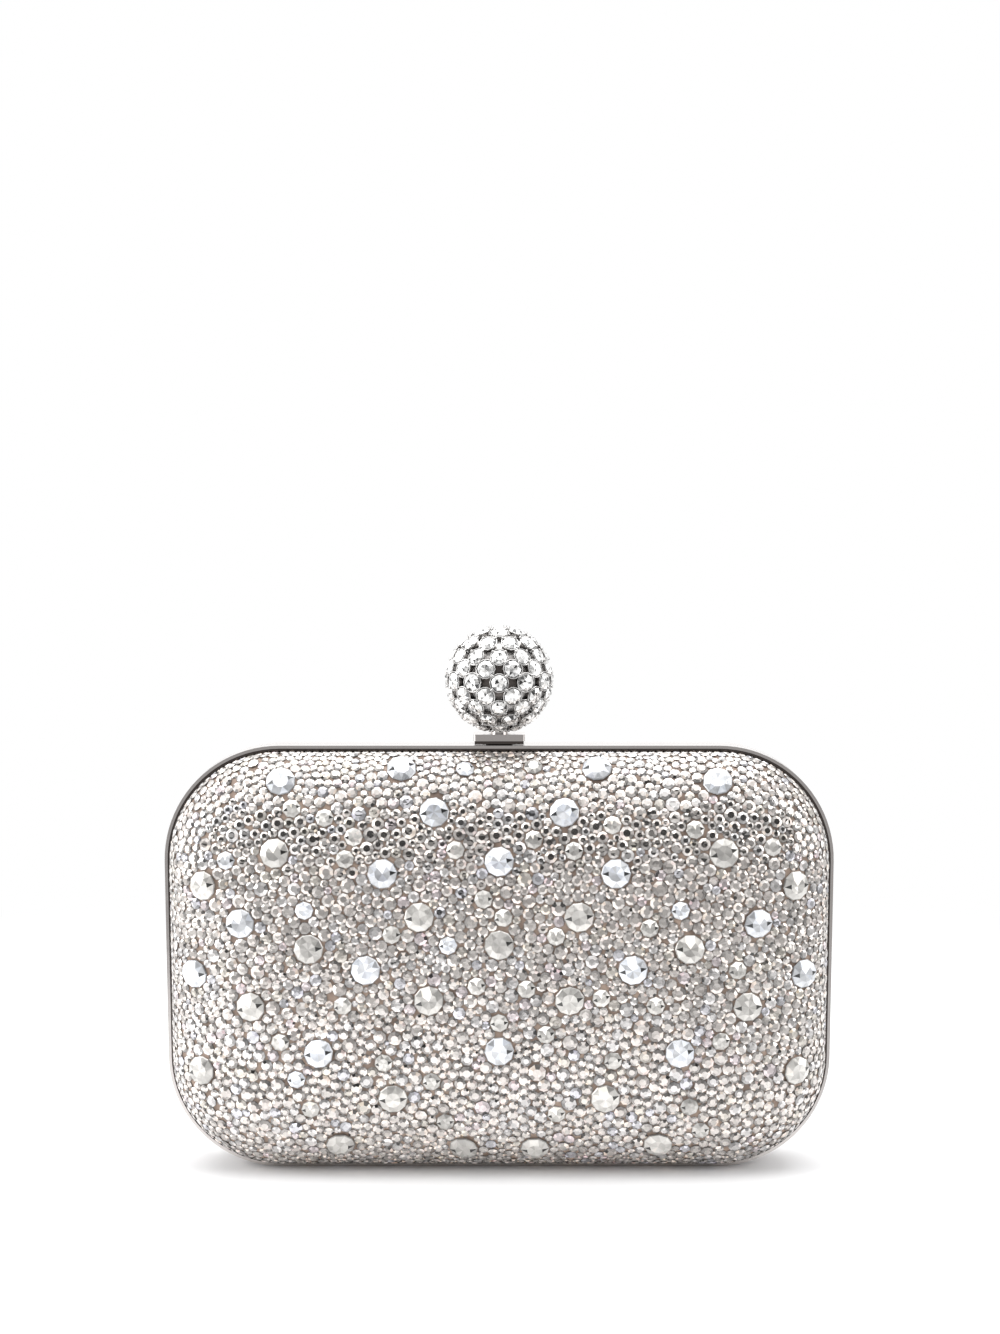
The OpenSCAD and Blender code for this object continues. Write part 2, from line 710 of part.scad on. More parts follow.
module bracket_rivets() {
    color([0.55, 0.54, 0.53])
    for (s = [-1, 1]) translate([s*bracket_rivet_x, (bracket_front + bracket_back)/2,
        wall_z - bracket_t - rivet_head_t]) {
        cylinder(r1 = rivet_r, r2 = rivet_head_r, h = rivet_head_t, $fn = small_n);
        cylinder(r = rivet_r, h = rivet_head_t + bracket_t + frame_wall, $fn = small_n);
    }
}

module clasp_pin() {
    end = boss_half_w + ear_gap + ear_t + ear_gap;
    color([0.6, 0.59, 0.58]) rod(clasp_pin_r, -end, end, pivot_y, pivot_z);
}

// L-shaped strip riveted under the bracket, its free leg in front of the tail of the lever.
module clasp_spring() {
    z1 = wall_z - bracket_t;
    leg_y = tail_y - spring_gap - spring_t;
    color([0.55, 0.56, 0.58]) {
        span(spring_half_w, bracket_front, leg_y + spring_t, z1 - spring_t, z1);
        span(spring_half_w, leg_y, leg_y + spring_t, top_z - tail_drop + spring_end, z1);
    }
}

// Plate on a pad on top of the frame, with the catch lug, the pivot boss and the tail under
// the frame.
module clasp_lever() {
    color([0.5, 0.48, 0.46])
    difference() {
        union() {
            translate([0, 0, plate_z]) linear_extrude(plate_t) plate_outline();
            span(plate_w/2 - pad_inset, pad_inset - plate_front, plate_rear - pad_inset,
                top_z + plate_gap, plate_z + plate_t/2);
            translate([lug_half_w, 0, 0]) rotate([quarter, 0, -quarter])
                linear_extrude(2*lug_half_w) polygon([
                    [lug_front, plate_z + plate_t/2], [lug_front, plate_z],
                    [lug_tip, top_z - lug_drop], [lug_rear, top_z - lug_drop],
                    [lug_rear, plate_z + plate_t/2]]);
            rod(boss_r, -boss_half_w, boss_half_w, pivot_y, pivot_z);
            span(boss_half_w, pivot_y - boss_r, pivot_y + plate_rear - pivot_y, pivot_z,
                plate_z + plate_t/2);
            span(tail_half_w, tail_y, tail_y + tail_t, top_z - tail_drop, pivot_z);
        }
        rod(clasp_pin_r + clasp_fit, -body_w, body_w, pivot_y, pivot_z);
        translate([0, 0, plate_z])
            cylinder(r = stud_r + stud_fit, h = plate_t + overrun, $fn = small_n);
    }
}

module plate_outline() {
    c = plate_corner;
    for (s = [-1, 1]) {
        translate([s*(plate_w/2 - c), c - plate_front]) circle(r = c, $fn = small_n);
        translate([s*(plate_w/2 - c), plate_rear - c]) circle(r = c, $fn = small_n);
    }
    translate([-plate_w/2, c - plate_front]) square([plate_w, plate_front + plate_rear - 2*c]);
    translate([c - plate_w/2, -plate_front]) square([plate_w - 2*c, plate_front + plate_rear]);
}

// Stud through the plate, with the collar that the ball stands on.
module ball_stem() {
    color([0.7, 0.7, 0.69]) {
        translate([0, 0, plate_z])
            cylinder(r = stud_r, h = ball_z - core_r + stud_up - plate_z, $fn = small_n);
        translate([0, 0, plate_top])
            cylinder(r = collar_r, h = ball_z - core_r - plate_top, $fn = small_n);
    }
}

module ball_core() {
    color([0.2, 0.19, 0.2])
    difference() {
        translate([0, 0, ball_z]) sphere(r = core_r, $fn = round_n);
        translate([0, 0, ball_z - core_r - overrun])
            cylinder(r = stud_r + stud_fit, h = stud_up + overrun + stud_fit, $fn = small_n);
        translate([0, 0, ball_z - core_r - overrun])
            cylinder(r = collar_r + stud_fit, h = overrun + collar_seat, $fn = small_n);
    }
}

// Depth of the flat in the core that the collar meets.
collar_seat = core_r - sqrt(core_r*core_r - pow(collar_r + stud_fit, 2));

// Children at every stone of the ball, scaled by the size share of the row.
module ball_places() {
    for (row = ball_row_shares) for (k = [0:row[1] - 1])
        translate([0, 0, ball_z])
        rotate([0, quarter - row[0], full_turn*(k + row[2])/row[1] - quarter])
        translate([0, 0, core_r + cup_seat]) scale(row[3]) children();
}

module ball_cups() {
    inner = cup_r - cup_wall;
    color([0.75, 0.75, 0.74]) ball_places() rotate_extrude($fn = small_n) polygon([[0, 0],
        [cup_base_r, 0], [cup_r, cup_h], [inner, cup_h], [cup_base_r - cup_wall, cup_wall],
        [0, cup_wall]]);
}

module ball_stones() {
    top = ball_r - core_r - cup_seat;
    base = cup_wall + stone_fit;
    r = cup_r - cup_wall - stone_fit;
    low = cup_base_r - cup_wall - stone_fit;
    color([0.9, 0.91, 0.93]) ball_places() rotate_extrude($fn = small_n) polygon([
        [0, base], [low, base], [r, cup_h], [r*table_share, top], [0, top]]);
}

front_shell();
front_frame();
front_lining();
front_large_stones();
front_medium_stones();
front_pave_stones();
front_hinge_leaf();
front_hinge_rivets();
rear_shell();
rear_frame();
rear_lining();
rear_pocket();
rear_large_stones();
rear_medium_stones();
rear_pave_stones();
rear_hinge_leaf();
rear_hinge_rivets();
hinge_pin();
clasp_bracket();
bracket_rivets();
clasp_pin();
clasp_spring();
clasp_lever();
ball_stem();
ball_core();
ball_cups();
ball_stones();
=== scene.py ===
# %% [markdown]
# # A stone-covered box clutch, dressed around its CAD frame
# The clutch is two pillowed metal shells in rounded frames. Clear cut stones cover both
# shells, and a ball of set stones stands on the clasp. The CAD part fixes every size and
# joint. This script adds what makes it look real: the facets, the clay between the stones,
# the plated metal and the cloth inside.

# %% Load the frame
import math

import bmesh
import bpy
import numpy as np
from mathutils import Matrix, Vector, noise
from mathutils.bvhtree import BVHTree
from mathutils.interpolate import poly_3d_calc
from mathutils.kdtree import KDTree


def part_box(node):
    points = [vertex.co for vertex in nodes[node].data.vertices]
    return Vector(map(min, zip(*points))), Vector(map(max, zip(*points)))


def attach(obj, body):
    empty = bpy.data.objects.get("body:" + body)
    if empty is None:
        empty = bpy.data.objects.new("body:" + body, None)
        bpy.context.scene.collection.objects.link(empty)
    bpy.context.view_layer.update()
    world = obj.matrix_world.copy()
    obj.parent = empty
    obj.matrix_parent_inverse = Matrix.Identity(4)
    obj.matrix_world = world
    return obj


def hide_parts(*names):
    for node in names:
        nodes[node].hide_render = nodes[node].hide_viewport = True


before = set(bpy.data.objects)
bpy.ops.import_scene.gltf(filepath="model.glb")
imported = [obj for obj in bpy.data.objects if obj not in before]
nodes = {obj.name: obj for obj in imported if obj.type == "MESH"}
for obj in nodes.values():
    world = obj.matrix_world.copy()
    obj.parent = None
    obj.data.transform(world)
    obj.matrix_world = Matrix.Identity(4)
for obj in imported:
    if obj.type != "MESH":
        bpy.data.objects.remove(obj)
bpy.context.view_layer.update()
scene = bpy.context.scene
scene.view_settings.view_transform = "Standard"
MM = 0.001

# %% [markdown]
# ## The camera
# The photograph looks down on the clutch by about ten degrees from seven tenths of a metre.
# The bag stands low in a tall picture, so the lens is shifted instead of tilted: tilting
# would make the sides lean together more than they do.

# %% Camera
CAMERA_TILT = math.radians(9.7)
CAMERA_DISTANCE = 0.700
CAMERA_TARGET = Vector((0, 0, 0.060))
PICTURE_HEIGHT_MM = 343.0
SENSOR_MM = 36
SHIFT_X, SHIFT_Y = 0.0006, 0.2006
NEAREST, FARTHEST = 0.05, 20

camera = bpy.data.objects.new("camera", bpy.data.cameras.new("camera"))
scene.collection.objects.link(camera)
toward_camera = Vector((0, -math.cos(CAMERA_TILT), math.sin(CAMERA_TILT)))
camera.location = CAMERA_TARGET + toward_camera * CAMERA_DISTANCE
camera.rotation_mode = "QUATERNION"
camera.rotation_quaternion = (-toward_camera).to_track_quat("-Z", "Y")
camera.data.sensor_width = SENSOR_MM
camera.data.lens = SENSOR_MM * CAMERA_DISTANCE / MM / PICTURE_HEIGHT_MM
camera.data.shift_x = SHIFT_X
camera.data.shift_y = SHIFT_Y
camera.data.clip_start = NEAREST
camera.data.clip_end = FARTHEST
scene.camera = camera
print("lens", round(camera.data.lens, 1), "mm")

# %% [markdown]
# ## Helpers for nodes
# A material is a chain of nodes, and most of them need the same few lines: make the node,
# set it up, give its inputs a number or join them to an earlier output. These helpers do
# that in one call each, so that a finish below reads from its texture to its shader.

# %% Node helpers
def feed(node, inputs):
    """Gives the inputs of a node, by name or number, a value or the output that feeds them."""
    for key, value in inputs.items():
        if isinstance(value, bpy.types.NodeSocket):
            node.id_data.links.new(value, node.inputs[key])
        else:
            node.inputs[key].default_value = value


def add_node(tree, kind, inputs=None, **settings):
    """A node of that kind with its settings and inputs."""
    made = tree.nodes.new(kind)
    for name, value in settings.items():
        setattr(made, name, value)
    feed(made, inputs or {})
    return made


def math_node(tree, operation, *values):
    """The result of a Math node."""
    made = add_node(tree, "ShaderNodeMath", dict(enumerate(values)), operation=operation)
    return made.outputs[0]


def vector_node(tree, operation, *vectors, scale=None, out="Vector"):
    """The result of a Vector Math node. Only the operation SCALE has a scale."""
    inputs = dict(enumerate(vectors))
    if scale is not None:
        inputs["Scale"] = scale
    return add_node(tree, "ShaderNodeVectorMath", inputs, operation=operation).outputs[out]


def map_range(tree, value, start, end, low=0.0, high=1.0, interpolation_type="LINEAR"):
    """A value moved from the range start to end into the range low to high."""
    inputs = {"Value": value, "From Min": start, "From Max": end, "To Min": low, "To Max": high}
    return add_node(tree, "ShaderNodeMapRange", inputs,
                    interpolation_type=interpolation_type).outputs[0]


def mix_colours(tree, factor, first, second):
    """The colour between two colours."""
    inputs = {0: factor, 6: first, 7: second}
    return add_node(tree, "ShaderNodeMix", inputs, data_type="RGBA").outputs[2]


def mix_shaders(tree, factor, first, second):
    """The shader between two shaders."""
    return add_node(tree, "ShaderNodeMixShader", {0: factor, 1: first, 2: second}).outputs[0]


def grey_ramp(tree, factor, stops):
    """A colour ramp through the (position, grey) pairs given."""
    made = add_node(tree, "ShaderNodeValToRGB", {0: factor})
    elements = made.color_ramp.elements
    while len(elements) > 1:
        elements.remove(elements[-1])
    for number, (position, grey) in enumerate(stops):
        stop = elements[0] if number == 0 else elements.new(position)
        stop.position = position
        stop.color = (grey, grey, grey, 1)
    return made.outputs[0]


def noise_field(tree, place, scale, detail, rough=0.5):
    """A cloudy value between 0 and 1 over the places given."""
    inputs = {"Vector": place, "Scale": scale, "Detail": detail, "Roughness": rough}
    return add_node(tree, "ShaderNodeTexNoise", inputs).outputs[0]


def bump(tree, height, strength, distance):
    """Normals that follow a height."""
    inputs = {"Height": height, "Strength": strength, "Distance": distance}
    return add_node(tree, "ShaderNodeBump", inputs).outputs[0]


def object_place(tree):
    """Where a point lies on the object, in metres."""
    return add_node(tree, "ShaderNodeTexCoord").outputs["Object"]


def three_parts(tree, vector):
    """The X, Y and Z of a vector."""
    return add_node(tree, "ShaderNodeSeparateXYZ", {0: vector}).outputs


print("node helpers ready")

# %% [markdown]
# ## A studio for mirrors
# Cut stones show nothing but the room around them, so the room matters more than the lamps.
# A product table has a broad white ceiling, white sides, a white sweep behind, and a dark gap
# at the front, where the camera stands. The world carries that room for reflections, plain
# grey light for matt surfaces, and white for the background.

# %% World
WHITE = (1, 1, 1, 1)
# The greys of the room by height, from 0 straight down to 1 straight up.
FRONT_ROOM = [(0.0, 0.75), (0.40, 0.66), (0.46, 0.52), (0.56, 0.46), (0.61, 0.02),
              (0.735, 0.02), (0.775, 0.8), (0.83, 1.2), (1.0, 1.3)]
SIDE_ROOM = [(0.0, 0.8), (0.45, 0.95), (0.5, 1.25), (0.8, 1.15), (1.0, 1.3)]
SIDE_SPAN = (0.30, 0.75)
RIGHT_SPAN, RIGHT_SHARE = (0.1, 0.7), 0.62
MATT_COLOUR, MATT_STRENGTH = (0.97, 0.98, 1.0, 1), 0.72

world = bpy.data.worlds.new("studio")
scene.world = world
world.use_nodes = True
tree = world.node_tree
tree.nodes.clear()
direction = three_parts(tree, add_node(tree, "ShaderNodeTexCoord").outputs["Generated"])
height = map_range(tree, direction["Z"], -1.0, 1.0)
front_room = grey_ramp(tree, height, FRONT_ROOM)
side_room = grey_ramp(tree, height, SIDE_ROOM)
# This sum is low towards the front of the room and high towards its sides and back.
lead = math_node(tree, "ADD", math_node(tree, "ABSOLUTE", direction["X"]), direction["Y"])
to_side = map_range(tree, lead, *SIDE_SPAN, interpolation_type="SMOOTHSTEP")
room = mix_colours(tree, to_side, front_room, side_room)
# The right side of the room is darker than the left.
dimmer = map_range(tree, direction["X"], *RIGHT_SPAN, 1.0, RIGHT_SHARE)
dimmed = vector_node(tree, "SCALE", room, scale=dimmer)
reflected = add_node(tree, "ShaderNodeBackground", {"Color": dimmed}).outputs[0]
matt_light = add_node(tree, "ShaderNodeBackground",
                      {"Color": MATT_COLOUR, "Strength": MATT_STRENGTH}).outputs[0]
background = add_node(tree, "ShaderNodeBackground", {"Color": WHITE, "Strength": 1.0}).outputs[0]
path = add_node(tree, "ShaderNodeLightPath").outputs
around = mix_shaders(tree, path["Is Glossy Ray"], matt_light, reflected)
seen_world = mix_shaders(tree, path["Is Camera Ray"], around, background)
add_node(tree, "ShaderNodeOutputWorld", {0: seen_world})
print("world nodes", len(tree.nodes))

# %% [markdown]
# ## Lamps and the table
# Three soft boxes do the lighting: the strongest overhead, a weaker one at the left and the
# weakest at the right. The table top is white. Its colour lifts to pure white away from the
# bag, so that table and background meet with no line, while the soft shadow at the foot of
# the bag stays. What the stones mirror is a greyer table than the one the camera sees.

# %% Lamps
# Name, place, aim, size and power of each soft box.
SOFT_BOXES = [("overhead_box", (0, 0.10, 1.15), (0, 0, 0.05), (1.5, 1.0), 13.0),
              ("left_box", (-1.1, -0.25, 0.42), (0, 0, 0.06), (0.7, 0.9), 7.5),
              ("right_box", (1.1, -0.25, 0.42), (0, 0, 0.06), (0.7, 0.9), 4.5)]
for name, place, aim, size, power in SOFT_BOXES:
    lamp = bpy.data.objects.new(name, bpy.data.lights.new(name, "AREA"))
    lamp.data.shape = "RECTANGLE"
    lamp.data.size, lamp.data.size_y = size
    lamp.data.energy = power
    lamp.location = place
    lamp.rotation_mode = "QUATERNION"
    lamp.rotation_quaternion = (Vector(aim) - Vector(place)).to_track_quat("-Z", "Y")
    scene.collection.objects.link(lamp)
print("soft boxes", len(SOFT_BOXES))

# %% Table top
TABLE_REACH = 3.0
TABLE_COLOUR, TABLE_LIFT = (0.94, 0.94, 0.94, 1), 0.02
WHITE_SPAN = (0.16, 0.45)
GREYER_WAY, GREYER_SPAN, GREYER_SHADES = (0.80, -1.0, 0.0), (0.05, 0.24), (0.90, 0.50)

table_mesh = bmesh.new()
bmesh.ops.create_grid(table_mesh, x_segments=4, y_segments=4, size=TABLE_REACH)
table_data = bpy.data.meshes.new("table_top")
table_mesh.to_mesh(table_data)
table_mesh.free()
table_top = bpy.data.objects.new("table_top", table_data)
scene.collection.objects.link(table_top)

table_paint = bpy.data.materials.new("table_white")
table_paint.use_nodes = True
tree = table_paint.node_tree
tree.nodes.clear()
spot = object_place(tree)
distance = vector_node(tree, "LENGTH", spot, out="Value")
far = map_range(tree, distance, *WHITE_SPAN, interpolation_type="SMOOTHSTEP")
matt_table = add_node(tree, "ShaderNodeBsdfDiffuse", {"Color": TABLE_COLOUR}).outputs[0]
lift = add_node(tree, "ShaderNodeEmission", {"Color": WHITE, "Strength": TABLE_LIFT}).outputs[0]
lit_table = add_node(tree, "ShaderNodeAddShader", {0: matt_table, 1: lift}).outputs[0]
pure_white = add_node(tree, "ShaderNodeEmission", {"Color": WHITE, "Strength": 1.0}).outputs[0]
seen_table = mix_shaders(tree, far, lit_table, pure_white)
# In the stones the table turns greyer towards the front and the right.
front_of = vector_node(tree, "DOT_PRODUCT", spot, GREYER_WAY, out="Value")
greyer = map_range(tree, front_of, *GREYER_SPAN, *GREYER_SHADES, interpolation_type="SMOOTHSTEP")
near_mirrored = add_node(tree, "ShaderNodeBsdfDiffuse", {"Color": greyer}).outputs[0]
far_mirrored = add_node(tree, "ShaderNodeEmission", {"Color": greyer, "Strength": 1.0}).outputs[0]
mirrored_table = mix_shaders(tree, far, near_mirrored, far_mirrored)
camera_ray = add_node(tree, "ShaderNodeLightPath").outputs["Is Camera Ray"]
add_node(tree, "ShaderNodeOutputMaterial",
         {0: mix_shaders(tree, camera_ray, mirrored_table, seen_table)})
table_data.materials.append(table_paint)
print("table", table_top.name)

# %% [markdown]
# The front half swings down below the foot of the rear half, as it does on the real clutch,
# so the table has to give way when the lid is open. A small geometry node group finds the
# lowest point of the front shell and lets the table top down to it. At rest it does nothing.

# %% Table under the open lid
STONE_ROOM = 1.9 * MM
give_way = bpy.data.node_groups.new("table_under_lid", "GeometryNodeTree")
for way in ("INPUT", "OUTPUT"):
    give_way.interface.new_socket("Geometry", in_out=way, socket_type="NodeSocketGeometry")
top_in = add_node(give_way, "NodeGroupInput").outputs[0]
lid = add_node(give_way, "GeometryNodeObjectInfo", {"Object": nodes["front_shell"]},
               transform_space="RELATIVE").outputs["Geometry"]
lid_box = add_node(give_way, "GeometryNodeBoundBox", {"Geometry": lid}).outputs
lowest = three_parts(give_way, lid_box["Min"])["Z"]
with_stones = math_node(give_way, "SUBTRACT", lowest, STONE_ROOM)
never_up = math_node(give_way, "MINIMUM", with_stones, 0.0)
way_down = add_node(give_way, "ShaderNodeCombineXYZ", {"Z": never_up}).outputs[0]
let_down = add_node(give_way, "GeometryNodeTransform",
                    {"Geometry": top_in, "Translation": way_down}).outputs[0]
add_node(give_way, "NodeGroupOutput", {0: let_down})
table_top.modifiers.new("under_lid", "NODES").node_group = give_way
print("table top gives way", table_top.modifiers[0].name)

# %% [markdown]
# ## Effects that several finishes share
# Two groups are built once. "cut_facets" breaks a flat face into small tilted planes, as the
# mirrored back of a stone does when it is seen through the front. It uses a cell texture
# whose distance is measured along the axes, because that distance rises in flat slopes.
# "metal_grain" gives plated metal its fine lines and cloudy gloss.

# %% Shared groups
def new_group(name, inputs, outputs):
    """A shader node group with float inputs (name, value) and outputs (name, socket type)."""
    group = bpy.data.node_groups.new(name, "ShaderNodeTree")
    for label, value in inputs:
        socket = group.interface.new_socket(label, in_out="INPUT", socket_type="NodeSocketFloat")
        socket.default_value = value
    for label, kind in outputs:
        group.interface.new_socket(label, in_out="OUTPUT", socket_type=kind)
    return group, add_node(group, "NodeGroupInput").outputs, add_node(group, "NodeGroupOutput")


PLANE_DEPTH = 1 * MM
cut_facets, facets_in, facets_out = new_group(
    "cut_facets", [("Scale", 600.0), ("Depth", 0.5), ("Spread", 0.5)],
    [("Normal", "NodeSocketVector"), ("Tone", "NodeSocketFloat")])
planes = add_node(cut_facets, "ShaderNodeTexVoronoi",
                  {"Vector": object_place(cut_facets), "Scale": facets_in["Scale"]},
                  distance="MANHATTAN").outputs
cell_shade = add_node(cut_facets, "ShaderNodeSeparateColor", {0: planes["Color"]}).outputs[0]
less = math_node(cut_facets, "MULTIPLY", cell_shade, facets_in["Spread"])
feed(facets_out, {
    "Normal": bump(cut_facets, planes["Distance"], facets_in["Depth"], PLANE_DEPTH),
    "Tone": math_node(cut_facets, "SUBTRACT", 1.0, less)})

# A noise is written as its scale, its detail and, where it isn't the usual half, its
# roughness. The scale of the lines is an input of the group.
CLOUDS, LINE_DETAIL, LINE_ROUGH = (45.0, 3.0), 5.0, 0.6
LINE_SPAN = (0.3, 0.7)
metal_grain, grain_in, grain_out = new_group(
    "metal_grain", [("Scale", 300.0), ("Stretch", 8.0), ("Smooth", 0.2), ("Rough", 0.4)],
    [("Roughness", "NodeSocketFloat"), ("Height", "NodeSocketFloat"),
     ("Cloud", "NodeSocketFloat")])
spot = object_place(metal_grain)
pull = add_node(metal_grain, "ShaderNodeCombineXYZ",
                {"X": 1.0, "Y": grain_in["Stretch"], "Z": 1.0}).outputs[0]
stretched = vector_node(metal_grain, "MULTIPLY", spot, pull)
lines = noise_field(metal_grain, stretched, grain_in["Scale"], LINE_DETAIL, LINE_ROUGH)
gloss = map_range(metal_grain, lines, *LINE_SPAN, grain_in["Smooth"], grain_in["Rough"])
feed(grain_out, {"Roughness": gloss, "Height": lines,
                 "Cloud": noise_field(metal_grain, spot, *CLOUDS)})
print("groups", cut_facets.name, metal_grain.name)

# %% [markdown]
# ## Finishes
# A clear stone with a foiled back acts as a mirror behind glass. The base of the shader is
# therefore partly metallic and takes the facet normals, and a clear coat stands for the
# glass. One attribute made with the stones, stone_tint, varies them facet by facet. Its
# colour is the tint of the stone times the painted shade of the facet, which paints in the
# light and shade inside the stone, and its alpha is how rough the facet is. Polished tables
# are nearly pure mirrors, and the crown scatters more light.

# %% Stone finish
TABLE_ROUGH, STAR_ROUGH, CROWN_ROUGH = 0.05, 0.22, 0.26
TABLE_METALLIC = 0.94
COAT_WEIGHT, COAT_ROUGH, GLASS_IOR = 0.6, 0.02, 1.55


def new_finish(name):
    """An empty material with a Principled shader joined to its output."""
    made = bpy.data.materials.new(name)
    made.use_nodes = True
    tree = made.node_tree
    tree.nodes.clear()
    shader = add_node(tree, "ShaderNodeBsdfPrincipled")
    add_node(tree, "ShaderNodeOutputMaterial", {0: shader.outputs[0]})
    return made, tree, shader


def stone_finish(name, facet_scale, facet_depth, spread, metallic):
    """Foiled clear stone. The facet group tilts the base, and the coat stays smooth. Metallic
    is that of the crown. A tint above 1 glows by what is over: a painted glow that stands for
    a facet where the foil throws a lamp straight back."""
    made, tree, shader = new_finish(name)
    facets = add_node(tree, "ShaderNodeGroup", node_tree=cut_facets)
    feed(facets, {"Scale": facet_scale, "Depth": facet_depth, "Spread": spread})
    tint = add_node(tree, "ShaderNodeAttribute", attribute_name="stone_tint").outputs
    over = vector_node(tree, "SUBTRACT", tint["Color"], (1, 1, 1))
    feed(shader, {
        "Base Color": vector_node(tree, "SCALE", tint["Color"], scale=facets.outputs["Tone"]),
        "Metallic": map_range(tree, tint["Alpha"], TABLE_ROUGH, CROWN_ROUGH, TABLE_METALLIC,
                              metallic),
        "Roughness": tint["Alpha"], "Normal": facets.outputs["Normal"],
        "Emission Color": vector_node(tree, "MAXIMUM", over, (0, 0, 0)),
        "Emission Strength": 1.0, "Coat Weight": COAT_WEIGHT, "Coat Roughness": COAT_ROUGH,
        "Coat IOR": GLASS_IOR})
    return made


small_stone = stone_finish("small_stone", facet_scale=620.0, facet_depth=0.07, spread=0.20,
                           metallic=0.60)
large_stone = stone_finish("large_stone", facet_scale=420.0, facet_depth=0.05, spread=0.15,
                           metallic=0.45)
ball_stone = stone_finish("ball_stone", facet_scale=520.0, facet_depth=0.10, spread=0.20,
                          metallic=0.65)
print("stone finishes", small_stone.name, large_stone.name, ball_stone.name)

# %% [markdown]
# The metal is a gunmetal plate on the frame and clasp, a duller steel on the hinge, bright
# silver on the cups of the ball, and on its core a pale plate that painted shade darkens where
# it faces the eye. One function makes them all from the grain group. Some have a mask for
# painted shade: the frame in its groove, a painted shadow on the pad under the clasp plate,
# and the core where it faces the eye. Edge-on the core picks up the bright cups beside it.

# %% Metal finish and its masks
GRAIN_DEPTH = 0.2 * MM
FRAME_LOW, FRAME_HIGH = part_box("front_frame")
FRAME_DEPTH = -FRAME_LOW.y
GROOVE_RIM, GROOVE_REACH = 0.05 * MM, 1.0 * MM
FACING_IN = 0.004
PLATE_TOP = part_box("clasp_lever")[1].z
PLATE_THICK, PAD_BAND, PAD_SLACK = 1.7 * MM, 0.9 * MM, 0.02 * MM
EDGE_ON_SPAN = (0.06, 0.35)
# The painted shade in the groove of the frame and the painted shadow on the pad under the clasp
# plate.
PAINTED_SHADE_GREY = (0.10, 0.085, 0.078)


def metal_finish(name, colour, dark, smooth, rough, scale=300.0, stretch=8.0, lines=0.08,
                 shade=None, deep=PAINTED_SHADE_GREY):
    """Plated metal whose colour clouds between two tones and whose gloss follows the grain.
    Shade builds a 0 to 1 mask in the tree; where it is 1 the deep colour is painted on as shade."""
    made, tree, shader = new_finish(name)
    grain = add_node(tree, "ShaderNodeGroup", node_tree=metal_grain)
    feed(grain, {"Scale": scale, "Stretch": stretch, "Smooth": smooth, "Rough": rough})
    tones = mix_colours(tree, grain.outputs["Cloud"], (*dark, 1), (*colour, 1))
    feed(shader, {
        "Base Color": mix_colours(tree, shade(tree) if shade else 0.0, tones, (*deep, 1)),
        "Metallic": 1.0, "Roughness": grain.outputs["Roughness"],
        "Normal": bump(tree, grain.outputs["Height"], lines, GRAIN_DEPTH)})
    return made


def from_parting(tree, spot):
    """Distance from the plane where the halves meet."""
    return math_node(tree, "ABSOLUTE", three_parts(tree, spot)["Y"])


def groove_shade_mask(tree):
    """1 on the ledge and the inner wall of the frame, in the groove by the shell, where shade is
    painted.
    """
    texture = add_node(tree, "ShaderNodeTexCoord").outputs
    out = vector_node(tree, "SUBTRACT", texture["Object"], (0, 0, FRAME_HIGH.z / 2))
    flat = vector_node(tree, "MULTIPLY", out, (1, 0, 1))
    facing_out = vector_node(tree, "DOT_PRODUCT", flat, texture["Normal"], out="Value")
    depth = from_parting(tree, texture["Object"])
    under_rim = math_node(tree, "LESS_THAN", depth, FRAME_DEPTH - GROOVE_RIM)
    above_foot = math_node(tree, "GREATER_THAN", depth, FRAME_DEPTH - GROOVE_REACH)
    turned_in = math_node(tree, "LESS_THAN", facing_out, FACING_IN)
    return math_node(tree, "MULTIPLY", math_node(tree, "MULTIPLY", turned_in, under_rim),
                     above_foot)


def pad_shadow_mask(tree):
    """1 on the pad under the clasp plate, where a painted shadow goes."""
    height = three_parts(tree, object_place(tree))["Z"]
    return math_node(tree, "COMPARE", height, PLATE_TOP - PLATE_THICK - PAD_BAND / 2,
                     PAD_BAND / 2 + PAD_SLACK)


def turned_to_eye(tree):
    """1 where a surface looks at the eye, which gets painted shade; 0 where it is seen edge-on
    and picks up the cups.
    """
    edge_on = add_node(tree, "ShaderNodeLayerWeight", {"Blend": 0.5}).outputs["Facing"]
    return map_range(tree, edge_on, *EDGE_ON_SPAN, 1.0, 0.0)


# %% Metals
PLATED = dict(colour=(0.66, 0.62, 0.60), dark=(0.55, 0.515, 0.50), smooth=0.10, rough=0.20)
gunmetal = metal_finish("gunmetal", **PLATED)
# The frame takes painted shade in its groove, and the clasp plate a painted shadow on its pad.
frame_metal = metal_finish("frame_metal", **PLATED, shade=groove_shade_mask)
plate_metal = metal_finish("plate_metal", **PLATED, shade=pad_shadow_mask)
hinge_steel = metal_finish("hinge_steel", colour=(0.40, 0.39, 0.38), dark=(0.30, 0.29, 0.28),
                           smooth=0.3, rough=0.5)
pin_steel = metal_finish("pin_steel", colour=(0.60, 0.59, 0.57), dark=(0.50, 0.49, 0.48),
                         smooth=0.2, rough=0.35)
bright_silver = metal_finish("bright_silver", colour=(0.66, 0.65, 0.64),
                             dark=(0.52, 0.51, 0.50), smooth=0.10, rough=0.2, scale=500.0,
                             stretch=1.0, lines=0.03)
# The core is pale plating with painted shade where it faces the eye, between the cups.
shaded_core = metal_finish("shaded_core", colour=(0.95, 0.94, 0.93), dark=(0.85, 0.84, 0.83),
                         smooth=0.25, rough=0.4, scale=400.0, stretch=1.0, lines=0.1,
                         shade=turned_to_eye, deep=(0.17, 0.15, 0.14))
print("metal finishes ready")
